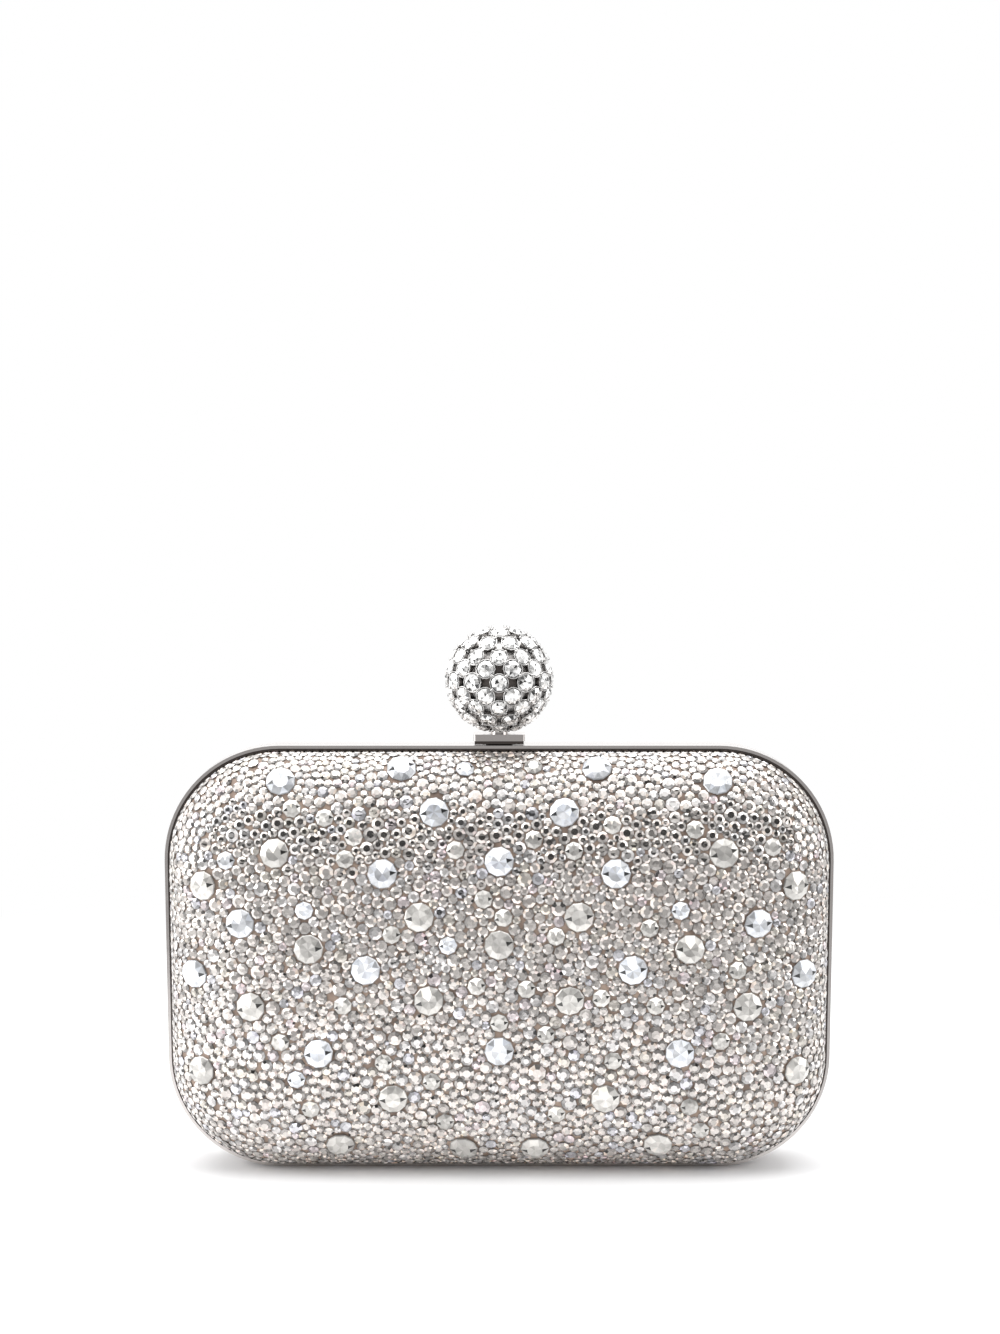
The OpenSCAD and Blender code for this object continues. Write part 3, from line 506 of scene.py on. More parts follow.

# %% [markdown]
# The stones are bedded in a blush-brown clay that shows as thin lines between them and has
# painted shade in the groove by the frame. Inside, the lining is a short grey suede and the
# pocket a plain woven cloth. Suede is a soft noise with a sheen; the weave is two crossed sets
# of waves.

# %% Clay and cloth finishes
FUZZ_DEPTH, PIT_STRENGTH, NAP_STRENGTH, YARN_STRENGTH = 0.3 * MM, 0.4, 0.5, 0.5
CLAY_DARK, CLAY_LIGHT, CLAY_ROUGH = (0.19, 0.135, 0.105, 1), (0.46, 0.34, 0.27, 1), 0.6
CLAY_PATCHES, PATCH_SPAN = (140.0, 4.0), (0.35, 0.65)
# Painted shade on the clay in the groove by the frame.
GROOVE_SHADE = 0.20
GROOVE_FROM, GROOVE_TO = FRAME_DEPTH - 0.2 * MM, FRAME_DEPTH + 0.9 * MM
SUEDE_DARK, SUEDE_LIGHT, SUEDE_ROUGH = (0.20, 0.19, 0.19, 1), (0.36, 0.35, 0.34, 1), 0.95
NAP, BRUSHED, NAP_SPAN = (900.0, 5.0, 0.7), (60.0, 2.0), (0.12, 0.40)
SUEDE_SHEEN, SUEDE_SHEEN_ROUGH = 0.5, 0.4
CLOTH_ROUGH, CLOTH_SHEEN = 0.8, 0.2
YARN_SLUB, YARN_DETAIL = 0.6, 1.0


def clay_finish(name):
    """Matt clay, patchy between tan and brown, with small pits and painted shade at the frame."""
    made, tree, shader = new_finish(name)
    spot = object_place(tree)
    patches = noise_field(tree, spot, *CLAY_PATCHES)
    tones = mix_colours(tree, map_range(tree, patches, *PATCH_SPAN), CLAY_DARK, CLAY_LIGHT)
    groove = map_range(tree, from_parting(tree, spot), GROOVE_FROM, GROOVE_TO, GROOVE_SHADE)
    feed(shader, {"Base Color": vector_node(tree, "SCALE", tones, scale=groove),
                  "Roughness": CLAY_ROUGH,
                  "Normal": bump(tree, patches, PIT_STRENGTH, FUZZ_DEPTH)})
    return made


def suede_finish(name):
    """Short nap: mottled grey, fully rough, with a pale sheen at grazing angles."""
    made, tree, shader = new_finish(name)
    spot = object_place(tree)
    nap = noise_field(tree, spot, *NAP)
    brushed = noise_field(tree, spot, *BRUSHED)
    spread = map_range(tree, math_node(tree, "MULTIPLY", nap, brushed), *NAP_SPAN)
    feed(shader, {"Base Color": mix_colours(tree, spread, SUEDE_DARK, SUEDE_LIGHT),
                  "Roughness": SUEDE_ROUGH, "Normal": bump(tree, nap, NAP_STRENGTH, FUZZ_DEPTH),
                  "Sheen Weight": SUEDE_SHEEN, "Sheen Roughness": SUEDE_SHEEN_ROUGH})
    return made


def cloth_finish(name, light, dark, threads):
    """Plain weave: two crossed waves along X and Z, with a slub in the yarn."""
    made, tree, shader = new_finish(name)
    spot = object_place(tree)
    yarn = {"Vector": spot, "Scale": threads, "Distortion": YARN_SLUB, "Detail": YARN_DETAIL}
    warp, weft = (add_node(tree, "ShaderNodeTexWave", yarn, bands_direction=way).outputs["Fac"]
                  for way in ("X", "Z"))
    weave = math_node(tree, "MULTIPLY", warp, weft)
    feed(shader, {"Base Color": mix_colours(tree, weave, (*dark, 1), (*light, 1)),
                  "Roughness": CLOTH_ROUGH, "Sheen Weight": CLOTH_SHEEN,
                  "Normal": bump(tree, weave, YARN_STRENGTH, FUZZ_DEPTH)})
    return made


blush_clay = clay_finish("blush_clay")
grey_suede = suede_finish("grey_suede")
grey_cloth = cloth_finish("grey_cloth", light=(0.34, 0.33, 0.33), dark=(0.19, 0.185, 0.185),
                          threads=700.0)
pale_thread = cloth_finish("pale_thread", light=(0.62, 0.60, 0.58), dark=(0.42, 0.40, 0.39),
                           threads=1500.0)
print("clay and cloth finishes ready")

# %% [markdown]
# ## Finishes on the CAD pieces
# Metal pieces have their final shape in CAD, so they only take a finish. Shells, linings and
# stones get new meshes further on, and their CAD nodes take the same finish.

# %% Dress the CAD nodes
CAD_FINISHES = {
    "front_shell": blush_clay, "rear_shell": blush_clay,
    "front_frame": frame_metal, "rear_frame": frame_metal,
    "front_hinge_leaf": hinge_steel, "rear_hinge_leaf": hinge_steel,
    "front_hinge_rivets": pin_steel, "rear_hinge_rivets": pin_steel,
    "hinge_pin": pin_steel, "clasp_bracket": hinge_steel, "bracket_rivets": pin_steel,
    "clasp_pin": pin_steel, "clasp_spring": pin_steel, "clasp_lever": plate_metal,
    "ball_stem": gunmetal, "ball_core": shaded_core, "ball_cups": bright_silver,
    "front_lining": grey_suede, "rear_lining": grey_suede, "rear_pocket": grey_cloth,
    "front_large_stones": large_stone, "front_medium_stones": large_stone,
    "rear_large_stones": large_stone, "rear_medium_stones": large_stone,
    "ball_stones": ball_stone,
}
for name, finish in CAD_FINISHES.items():
    nodes[name].data.materials.clear()
    nodes[name].data.materials.append(finish)
print("CAD nodes dressed", len(CAD_FINISHES))

# %% [markdown]
# ## The skin of the shells
# Stones sit square to the shell, so their places and directions come from the shell itself.
# A copy of the CAD shell is merged into a closed mesh, and only its outer faces are kept. A
# tree of these faces then answers, for any point, the nearest place on the skin and the
# direction that stands square to it there.

# %% Shell skin
SPINE_SIDE, SPINE_FOOT, SPINE_TOP = 28 * MM, 28 * MM, 30 * MM
SPINE_HALF = FRAME_HIGH.x - SPINE_SIDE
SPINE_LOW, SPINE_HIGH = SPINE_FOOT, FRAME_HIGH.z - SPINE_TOP
LEAST_OUTWARD = 0.05
SAME_POINT = 0.001 * MM


def merged_copy(node):
    """A bmesh of a CAD node with its loose triangles joined."""
    made = bmesh.new()
    made.from_mesh(nodes[node].data)
    bmesh.ops.remove_doubles(made, verts=made.verts, dist=SAME_POINT)
    return made


def outward(face):
    """True where a face looks away from the middle line of the shell."""
    middle = face.calc_center_median()
    spine = Vector((max(-SPINE_HALF, min(SPINE_HALF, middle.x)), -FRAME_DEPTH,
                    max(SPINE_LOW, min(SPINE_HIGH, middle.z))))
    return face.normal.dot((middle - spine).normalized()) > LEAST_OUTWARD


def outer_skin(node):
    """The merged shell with only its outer faces."""
    made = merged_copy(node)
    bmesh.ops.recalc_face_normals(made, faces=made.faces)
    hidden = [f for f in made.faces if not outward(f)]
    bmesh.ops.delete(made, geom=hidden, context="FACES")
    made.normal_update()
    made.verts.ensure_lookup_table()
    made.faces.ensure_lookup_table()
    return made


skin = outer_skin("front_shell")
skin_tree = BVHTree.FromBMesh(skin)
skin_area = sum(f.calc_area() for f in skin.faces)


def on_skin(point):
    """Nearest place on the skin and the smooth direction square to it."""
    place, _, index, _ = skin_tree.find_nearest(point)
    face = skin.faces[index]
    weights = poly_3d_calc([v.co for v in face.verts], place)
    square = Vector((0, 0, 0))
    for vert, weight in zip(face.verts, weights):
        square += vert.normal * weight
    return place, square.normalized()


print("skin", len(skin.faces), "faces,", round(skin_area / MM ** 2), "square mm")

# %% [markdown]
# ## Cutting a stone
# A flat-backed stone has a low wall, a crown of flat facets and a table. It starts as a short
# cylinder with few sides, and its top is inset and lifted, which makes crown and table. On
# the larger stones the table is turned by half a step, so that the crown folds into slim
# triangles, and it gets a shallow star, which is what the mirrored back looks like from the
# front. The crown is flatter than on a real stone, because light bends into real glass and
# leaves it as if the facets were flatter.
#
# Light bounces several times inside a real stone, so its facets differ far more than one
# mirror under a coat can show. That play is painted into the colours of the facets. Each
# facet of a small stone has a dim or a lit painted shade at random, and a lit shade above 1
# glows. The wall and ring at the edge of every stone get painted shade. A large stone has a
# painted body shade that varies a little from facet to facet, often a painted glint at its
# top, and often a painted dark reflection beside its table.

# %% Colours of the stones
rng = np.random.default_rng(9913)
TINTS = np.array([[0.985, 0.928, 0.882], [0.975, 0.905, 0.855], [0.965, 0.935, 0.92],
                  [0.95, 0.89, 0.81], [0.92, 0.91, 0.95], [0.97, 0.87, 0.88]])
COOL_TINT, WARM_TINT = (0.95, 0.965, 0.995), (0.98, 0.95, 0.90)
BALL_TINT = (0.97, 0.965, 0.955)
TINT_ODDS = np.array([0.46, 0.26, 0.14, 0.06, 0.04, 0.04])
# Painted light: each facet gets a dim or a lit painted shade, lit shades above 1 glow, and the
# table of a small stone gets a painted shade of its own.
DIM_FACET_SHADES, LIT_FACET_SHADES, LIT_FACET_SHARE = (0.28, 0.64), (0.80, 1.25), 0.46
TABLE_SHADES = (0.74, 1.0)
# Painted body shades of the large stones: lit ones glow above 1, dim ones are darker.
LIT_BODY_SHADES, DIM_BODY_SHADES, BODY_SPREAD = (1.00, 1.20), (0.74, 1.02), (0.66, 1.10)
# A painted glint on the top facets of some large stones.
GLINT_SHADE, GLINT_ODDS = 1.40, 0.40
# Painted shade of the wall and ring, and the painted dark reflection on some facets.
RING_SHADE, BIG_RING_SHADE, DARK_REFLECTION_SHADE = 0.20, 0.45, 0.07
TOP_ANGLE, WINDOW_FROM, WINDOW_TO = 30, 82, 118
print("tints of stones", len(TINTS))

# %% Cut stone
BASE_SHARE, RING_SHARE = 0.97, 0.06
STAR_DROP = 0.04
TABLE_LEVEL, RING_SLACK = 0.9, 1.01
WINDOW_REACH = 0.22


def cut_stone(radius, wall, crown, sides=8, table=0.45, star=False, body=None, windows=0.0,
              lit_share=LIT_FACET_SHARE, lit_shades=LIT_FACET_SHADES, dark_reflection_share=0.02, tint=None):
    """A mesh of one stone on the origin: wall, narrow ring, crown and table, with painted light
    in its stone_tint. A star stone has a folded crown and table. A stone with a body is nearly
    all of that painted shade, with a painted glint at its top now and then, and with windows
    as the odds of a painted dark reflection at either side of its table. Dark_reflection_share
    is the share of facets painted with the dark reflection of a corner of the room. The wall
    and ring get painted shade."""
    made = bmesh.new()
    tint_layer = made.loops.layers.float_color.new("stone_tint")
    bmesh.ops.create_cone(made, cap_ends=True, segments=sides, radius1=radius * BASE_SHARE,
                          radius2=radius, depth=wall,
                          matrix=Matrix.Translation((0, 0, wall / 2)))
    table_face = max(made.faces, key=lambda f: f.calc_center_median().z)
    inradius = radius * math.cos(math.pi / sides)
    ring = radius * RING_SHARE
    bmesh.ops.inset_individual(made, faces=[table_face], depth=ring, thickness=ring)
    bmesh.ops.inset_individual(made, faces=[table_face], depth=crown - ring,
                               thickness=inradius - ring - inradius * table)
    if star:
        turn = Matrix.Rotation(math.pi / sides, 3, "Z")
        bmesh.ops.rotate(made, verts=table_face.verts[:], cent=(0, 0, 0), matrix=turn)
        folded = [f for f in made.faces if len(f.verts) == 4
                  and f.calc_center_median().z > wall + ring]
        bmesh.ops.triangulate(made, faces=folded)
        bmesh.ops.poke(made, faces=[table_face], offset=-radius * STAR_DROP)
    if tint is None:
        tint = TINTS[rng.choice(len(TINTS), p=TINT_ODDS)]
    tone = rng.uniform(*(body or TABLE_SHADES))
    glint = rng.uniform() < GLINT_ODDS
    dark_sides = [side for side in (-1, 1) if rng.uniform() < windows]
    for face in made.faces:
        middle = face.calc_center_median()
        in_table = middle.z > wall + crown * TABLE_LEVEL
        clear = rng.uniform() < lit_share
        shade = rng.uniform(*(lit_shades if clear else DIM_FACET_SHADES))
        if rng.uniform() < dark_reflection_share:
            shade = DARK_REFLECTION_SHADE
        rough = STAR_ROUGH if star else CROWN_ROUGH
        # The angle is measured from the top of the stone, to the left or the right.
        angle = math.degrees(math.atan2(middle.y, middle.x))
        near_table = middle.xy.length < radius * (table + WINDOW_REACH)
        # The wall and ring get painted shade; a body stone gets its painted body shade, glint and
        # dark reflections.
        if middle.z < wall + ring * RING_SLACK:
            shade = BIG_RING_SHADE if star else RING_SHADE
        elif body:
            shade = tone * rng.uniform(*BODY_SPREAD)
            if glint and abs(angle) < TOP_ANGLE:
                shade = GLINT_SHADE
            if near_table and not in_table and any(
                    WINDOW_FROM < angle * side < WINDOW_TO for side in dark_sides):
                shade = DARK_REFLECTION_SHADE
        elif in_table and not star:
            shade, rough = tone, TABLE_ROUGH
        for corner in face.loops:
            corner[tint_layer] = (*(part * shade for part in tint), rough)
    stone = bpy.data.meshes.new("stone")
    made.to_mesh(stone)
    made.free()
    return stone


# %% Sets of stones and finished pieces
BATCH = 60


def facing(square, turn):
    """A rotation that stands +Z along square and turns by turn about it."""
    return square.to_track_quat("Z", "X").to_matrix().to_4x4() @ Matrix.Rotation(turn, 4, "Z")


def set_stones(seats, spin=6.0):
    """One bmesh of stones, from (place, square, cut_stone settings), each turned by up to
    spin. Stones are gathered in small batches first, because joining one stone to a big mesh
    is slow."""
    whole = bmesh.new()
    for first in range(0, len(seats), BATCH):
        batch = bmesh.new()
        for place, square, settings in seats[first:first + BATCH]:
            stone = cut_stone(**settings)
            stone.transform(Matrix.Translation(place) @ facing(square, rng.uniform(0, spin)))
            batch.from_mesh(stone)
            bpy.data.meshes.remove(stone)
        gathered = bpy.data.meshes.new("batch")
        batch.to_mesh(gathered)
        batch.free()
        whole.from_mesh(gathered)
        bpy.data.meshes.remove(gathered)
    return whole


def keep_piece(made, name, finish, body, slot_name, *stands_for, smooth=False):
    """Turns a bmesh into an object that rides on a body."""
    data = bpy.data.meshes.new(name)
    made.to_mesh(data)
    made.free()
    data.materials.append(finish)
    data.polygons.foreach_set("use_smooth", [smooth] * len(data.polygons))
    piece = bpy.data.objects.new(name, data)
    scene.collection.objects.link(piece)
    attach(piece, body)
    if stands_for:
        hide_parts(*stands_for)
    print(name, len(data.polygons), "faces")
    return piece


def keep_on_both_sides(made, name, finish, slot_name, *parts, smooth=False):
    """Keeps a bmesh on the front half and its mirror image on the rear half."""
    twin = made.copy()
    bmesh.ops.scale(twin, vec=(1, -1, 1), verts=twin.verts)
    bmesh.ops.reverse_faces(twin, faces=twin.faces)
    for side, mesh in (("front", made), ("rear", twin)):
        keep_piece(mesh, f"{side}_{name}", finish, f"{side}_half", slot_name,
                   *[f"{side}_{part}" for part in parts], smooth=smooth)


print("a batch holds", BATCH, "stones")

# %% [markdown]
# ## Large and medium stones
# The CAD part fixes where these stand. Every separate solid in a CAD stone node gives one
# seat, and a cut stone of the same size replaces it. The rear shell has the same setting,
# mirrored. A few of the large stones flash cool and bright with a painted glow, and the rest
# have a dimmer painted shade and are warmer.

# %% Seats of the stones
SEAT = 0.40 * MM
BIG_LEAN = math.radians(3.0)


def stone_islands(node):
    """Middle and cloud of points of every separate solid in a CAD node."""
    made = merged_copy(node)
    seen, found = set(), []
    for start in made.verts:
        if start in seen:
            continue
        seen.add(start)
        group, edge = [], [start]
        while edge:
            vert = edge.pop()
            group.append(vert.co.copy())
            for e in vert.link_edges:
                other = e.other_vert(vert)
                if other not in seen:
                    seen.add(other)
                    edge.append(other)
        cloud = np.array(group)
        found.append((Vector((cloud.max(0) + cloud.min(0)) / 2), cloud))
    made.free()
    return found


def leaning(square, spread):
    """A direction a little off square, as a hand-set stone stands."""
    return (square + Vector(rng.normal(0, math.tan(spread), 3))).normalized()


large_seats = [on_skin(middle) for middle, _ in stone_islands("front_large_stones")]
medium_seats = [on_skin(middle) for middle, _ in stone_islands("front_medium_stones")]
print("large and medium seats", len(large_seats), len(medium_seats))

# %% Large and medium stones
BIG_SPIN, WINDOW_ODDS = 0.3, 0.72
# The brightest large stones: distance from the middle as a share of half the width, height
# share. Each stands on both sides of the middle.
BRIGHT_PLACES = [(0, 0.75), (0, 0.31), (0.19, 0.86), (0.34, 0.72), (0.76, 0.61), (0.39, 0.50),
                 (0.53, 0.31), (0.64, 0.93), (0.29, 0.95), (0.90, 0.48)]
BRIGHT_REACH = 0.05
MEDIUM_BRIGHT_ODDS = 0.12
LARGE_RADIUS, MEDIUM_RADIUS = 3.8 * MM, 2.4 * MM
BIG_TABLE = 0.50
LARGE_CUT = dict(radius=LARGE_RADIUS, wall=0.40 * MM, crown=0.95 * MM, sides=10)
MEDIUM_CUT = dict(radius=MEDIUM_RADIUS, wall=0.30 * MM, crown=0.62 * MM, sides=8)


def is_bright(place):
    """True where one of the brightest large stones stands."""
    shares = abs(place.x) / FRAME_HIGH.x, place.z / FRAME_HIGH.z
    return any(math.dist(shares, other) < BRIGHT_REACH for other in BRIGHT_PLACES)


for size, seats, cut in (("large", large_seats, LARGE_CUT), ("medium", medium_seats, MEDIUM_CUT)):
    cuts = []
    for place, square in seats:
        # Bright stones get lit body shades that glow above 1, a painted glow; the rest get dim
        # painted body shades.
        bright = is_bright(place) if size == "large" else rng.uniform() < MEDIUM_BRIGHT_ODDS
        look = dict(body=LIT_BODY_SHADES if bright else DIM_BODY_SHADES,
                    tint=COOL_TINT if bright else WARM_TINT)
        cuts.append((place + square * SEAT, leaning(square, BIG_LEAN),
                     dict(table=BIG_TABLE, star=True, windows=WINDOW_ODDS, **cut, **look)))
    keep_on_both_sides(set_stones(cuts, BIG_SPIN), f"{size}_cut_stones", large_stone, "stones",
                       f"{size}_stones")

# %% [markdown]
# ## Where the small stones go
# A setter starts with an even row along the frame. The CAD part gives the places of the
# bigger pave stones, and the rest is filled with small ones of mixed sizes until they nearly
# touch. Here a crowd of discs does it: too many start at random places. Towards the frame
# the shell curves away, and all but the row along it are smaller there.

# %% First places
SEED_SIZES = np.array([4.2, 3.5, 3.0]) / 2 * MM
SEED_ODDS = np.array([0.27, 0.45, 0.28])
FILL_SIZES = np.array([2.5, 2.9, 3.3, 3.7]) / 2 * MM
FILL_ODDS = np.array([0.30, 0.30, 0.24, 0.16])
RIM_RADIUS, RIM_GAP, RIM_STEP = 0.98 * MM, 0.12 * MM, 0.1 * MM
FIRST_DARTS, COVER = 6000, 0.93
EDGE_SHARE = 0.66
EDGE_DEPTH, MIDDLE_DEPTH = 13 * MM, 23 * MM


def nearer_edge_smaller(points, sizes):
    """The sizes, reduced towards the edge of the shell, where only small stones are set."""
    inner = np.clip((-points[:, 1] - EDGE_DEPTH) / (MIDDLE_DEPTH - EDGE_DEPTH), 0, 1)
    return sizes * (EDGE_SHARE + (1 - EDGE_SHARE) * inner)


def random_skin_points(count):
    """Points spread evenly over the skin by area."""
    areas = np.array([f.calc_area() for f in skin.faces])
    picks = rng.choice(len(areas), size=count, p=areas / areas.sum())
    points = []
    for index in picks:
        face = skin.faces[index]
        parts = rng.dirichlet(np.ones(len(face.verts)))
        points.append(sum((v.co * w for v, w in zip(face.verts, parts)), Vector((0, 0, 0))))
    return np.array(points)


def draw_to_skin(points, sizes):
    """The points moved to the skin, no nearer the frame than their own radius."""
    drawn = np.empty_like(points)
    for number, (point, size) in enumerate(zip(points, sizes)):
        place, square, _, _ = skin_tree.find_nearest(point)
        least = FRAME_DEPTH + RIM_GAP + size * square.xz.length
        if -place.y < least:
            place = skin_tree.find_nearest((place.x, -least, place.z))[0]
        drawn[number] = place
    return drawn


def rim_row():
    """Even places along the edge of the shell."""
    edge = [v.co for v in skin.verts if v.is_boundary]
    middle_z = (SPINE_LOW + SPINE_HIGH) / 2
    edge.sort(key=lambda p: math.atan2(p.z - middle_z, p.x))
    edge = np.array(edge + edge[:1])
    along = np.concatenate([[0], np.cumsum(np.linalg.norm(np.diff(edge, axis=0), axis=1))])
    count = int(along[-1] / (2 * RIM_RADIUS + RIM_STEP))
    stops = np.arange(count) * along[-1] / count
    return np.stack([np.interp(stops, along, edge[:, axis]) for axis in range(3)], axis=1)


held = np.array([p for p, _ in large_seats] + [p for p, _ in medium_seats])
held_radii = np.array([LARGE_RADIUS] * len(large_seats) + [MEDIUM_RADIUS] * len(medium_seats))
rim = rim_row()
rim_radii = np.full(len(rim), RIM_RADIUS)
seeds = np.array([middle for middle, _ in stone_islands("front_pave_stones")])
seed_radii = nearer_edge_smaller(seeds, rng.choice(SEED_SIZES, size=len(seeds), p=SEED_ODDS))
covered = math.pi * sum((r ** 2).sum() for r in (held_radii, rim_radii, seed_radii))
darts = random_skin_points(FIRST_DARTS)
dart_radii = nearer_edge_smaller(darts, rng.choice(FILL_SIZES, size=len(darts), p=FILL_ODDS))
enough = np.searchsorted(np.cumsum(math.pi * dart_radii ** 2), skin_area * COVER - covered)
places = np.concatenate([held, rim, seeds, darts[:enough]])
radii = np.concatenate([held_radii, rim_radii, seed_radii, dart_radii[:enough]])
loose = np.ones(len(places))
loose[:len(held) + len(rim)] = 0
places[len(held):] = draw_to_skin(places[len(held):], radii[len(held):])
print("held", len(held), "rim", len(rim), "bigger", len(seeds), "small", enough)

# %% [markdown]
# ## Letting the crowd settle
# Discs that overlap push each other apart, and after every push they are drawn back to the
# skin. Then each disc shrinks or grows until it just meets its neighbours. Discs that had to
# shrink too much are lifted out, and the holes that are left get the smallest stones.

# %% Pushing apart and sizing
STEPS = 200
HOLE_STEPS = STEPS // 6
LIST_EVERY = 8
PUSH_SHARE = 0.8
SLACK = 0.8 * MM
TOUCH = 0.12 * MM
SIZE_ROUNDS = 40


def tree_of(places):
    """A tree that finds the nearest of the places."""
    tree = KDTree(len(places))
    for number, place in enumerate(places):
        tree.insert(place, number)
    tree.balance()
    return tree


def neighbours(places, radii):
    """Index pairs of discs that overlap or nearly do."""
    tree = tree_of(places)
    widest = radii.max()
    return np.array([(a, b) for a, place in enumerate(places)
                     for _, b, gap in tree.find_range(place, radii[a] + widest + SLACK)
                     if a < b and gap < radii[a] + radii[b] + SLACK])


def overlaps(places, radii, pairs, gap):
    """The two sides of each pair, the direction between them and how deep they overlap."""
    a, b = pairs.T
    apart = places[b] - places[a]
    length = np.linalg.norm(apart, axis=1)
    return a, b, apart / length[:, None], radii[a] + radii[b] + gap - length


def settle(places, radii, loose, steps):
    """Lets overlapping discs push each other apart on the skin."""
    for step in range(steps):
        if step % LIST_EVERY == 0:
            pairs = neighbours(places, radii)
        a, b, way, deep = overlaps(places, radii, pairs, 0.0)
        push = way * np.maximum(deep, 0)[:, None]
        freedom = np.maximum(loose[a] + loose[b], 1)
        moved = places.copy()
        np.add.at(moved, a, -push * (loose[a] / freedom)[:, None] * PUSH_SHARE)
        np.add.at(moved, b, push * (loose[b] / freedom)[:, None] * PUSH_SHARE)
        free = loose > 0
        moved[free] = draw_to_skin(moved[free], radii[free])
        places = moved
    return places


def fit_sizes(places, radii, loose, most):
    """The radii, less where a loose disc overlaps and more where it has room, up to most."""
    pairs = neighbours(places, radii)
    radii = radii.copy()
    for _ in range(SIZE_ROUNDS):
        a, b, _, deep = overlaps(places, radii, pairs, -TOUCH)
        share = deep / np.maximum(loose[a] + loose[b], 1)
        worst = np.full(len(radii), -SLACK)
        np.maximum.at(worst, a, share)
        np.maximum.at(worst, b, share)
        radii = np.minimum(radii - worst * loose, np.where(loose > 0, most, radii))
    return radii


print("steps", STEPS)

# %% Settling and filling the holes
LEAST_RADIUS, HOLE_MOST = 0.56 * MM, 1.2 * MM
GROW_FIRST, GROW_LATER, GROW_HOLE = 1.1, 1.15, 1.2
LEAST_KEPT = 0.72
HOLE_DARTS = (12000, 24000, 24000)


def find_holes(places, radii, darts):
    """The darts with the most room round them, widest first, and the radius that fits."""
    tree = tree_of(places)
    reach = radii.max() + HOLE_MOST
    darts = draw_to_skin(darts, np.full(len(darts), LEAST_RADIUS))
    room = np.array([min([gap - radii[near] for _, near, gap in tree.find_range(dart, reach)]
                         + [HOLE_MOST]) for dart in darts])
    added, added_room = np.empty((0, 3)), np.empty(0)
    for number in np.argsort(-room):
        if room[number] < LEAST_RADIUS:
            break
        clear = np.linalg.norm(added - darts[number], axis=1) - added_room - room[number]
        if not len(added) or clear.min() > 0:
            added = np.vstack([added, darts[number]])
            added_room = np.append(added_room, room[number])
    return added, added_room


places = settle(places, radii, loose, STEPS)
wanted = radii
radii = fit_sizes(places, radii, loose, wanted * GROW_FIRST)
stay = (loose == 0) | (radii > np.maximum(LEAST_KEPT * wanted, LEAST_RADIUS))
print("settled", len(radii), "lifted out", int((~stay).sum()))
places, radii, loose, wanted = places[stay], radii[stay], loose[stay], wanted[stay]
for darts_thrown in HOLE_DARTS:
    extra, extra_radii = find_holes(places, radii, random_skin_points(darts_thrown))
    print("holes filled", len(extra))
    places = np.concatenate([places, extra])
    radii = np.concatenate([radii, extra_radii])
    wanted = np.concatenate([wanted, extra_radii * GROW_HOLE])
    loose = np.concatenate([loose, np.ones(len(extra))])
    places = settle(places, radii, loose, HOLE_STEPS)
    radii = fit_sizes(places, radii, loose, wanted * GROW_LATER)
cover_now = math.pi * (radii ** 2).sum() / skin_area
small_seats = [(*on_skin(place), radius)
               for place, radius in zip(places[len(held):], radii[len(held):])]
print("small stones", len(small_seats), "cover", round(cover_now, 3),
      "widths", [round(float(w) / MM * 2, 2) for w in np.percentile(radii, [5, 50, 95])])

# %% [markdown]
# Each disc becomes a cut stone. A hand-set stone leans by a degree or two, and one in ten
# leans by more, which is what makes the surface sparkle unevenly.

# %% Small stones
LEAN, STRONG_LEAN, STRONG_SHARE = math.radians(1.6), 3.0, 0.10
SMALL_WALL, SMALL_RISE = 0.20 * MM, 0.28
# An eight-sided stone is narrower across its flats, so it is cut a little over its disc.
ROUND_UP = 1.075
leaning_seats = []
for place, square, radius in small_seats:
    strong = rng.uniform() < STRONG_SHARE
    square = leaning(square, LEAN * STRONG_LEAN if strong else LEAN)
    leaning_seats.append((place + square * SEAT, square, dict(
        radius=radius * ROUND_UP, wall=SMALL_WALL, crown=radius * SMALL_RISE)))
keep_on_both_sides(set_stones(leaning_seats), "pave_cut_stones", small_stone, "stones",
                   "pave_stones")

# %% [markdown]
# ## The clay bed
# The clay lies under the stones, shows in the gaps between them, and thins out towards the
# frame, where it leaves a groove that its finish darkens with painted shade. It is the skin
# again, moved out a little and given a thickness.

# %% Clay
CLAY_TOP, CLAY_EDGE, CLAY_TAPER, CLAY_THICK = 0.40 * MM, 0.08 * MM, 1.4 * MM, 0.06 * MM
clay = skin.copy()
for vert in clay.verts:
    full = min(max((-vert.co.y - FRAME_DEPTH) / CLAY_TAPER, 0), 1)
    vert.co += vert.normal * (CLAY_EDGE + (CLAY_TOP - CLAY_EDGE) * full)
clay.normal_update()
bmesh.ops.solidify(clay, geom=clay.faces, thickness=-CLAY_THICK)
keep_on_both_sides(clay, "clay_bed", blush_clay, "shell", smooth=True)

# %% [markdown]
# ## The ball
# Round stones sit in bright cups that touch each other, and beads of solder close the joints,
# so that only small squares of the core, darkened by painted shade, show between four cups.
# A cup is a short profile spun about its axis, with four beads at its rim. The CAD solids give
# the axis and size of each.

# %% Ball cups
core_low, core_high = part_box("ball_core")
CORE_RADIUS = (core_high.x - core_low.x) / 2
BALL_MIDDLE = Vector((0, 0, core_high.z - CORE_RADIUS))
CAD_CUP_RADIUS = 2.24 * MM
CUP_PROFILE = [(1.90, 0.04), (2.30, 0.80), (2.38, 1.02), (2.33, 1.16), (2.18, 1.18),
               (2.06, 1.06), (2.00, 0.60)]
CUP_STEPS = 14
BEAD_RADIUS, BEAD_OUT, BEAD_UP = 0.42 * MM, 2.26 * MM, 1.16 * MM
BEADS = 4
# A cup whose axis is nearer than this to upright takes X instead of Z as its guide.
STEEP = 0.99

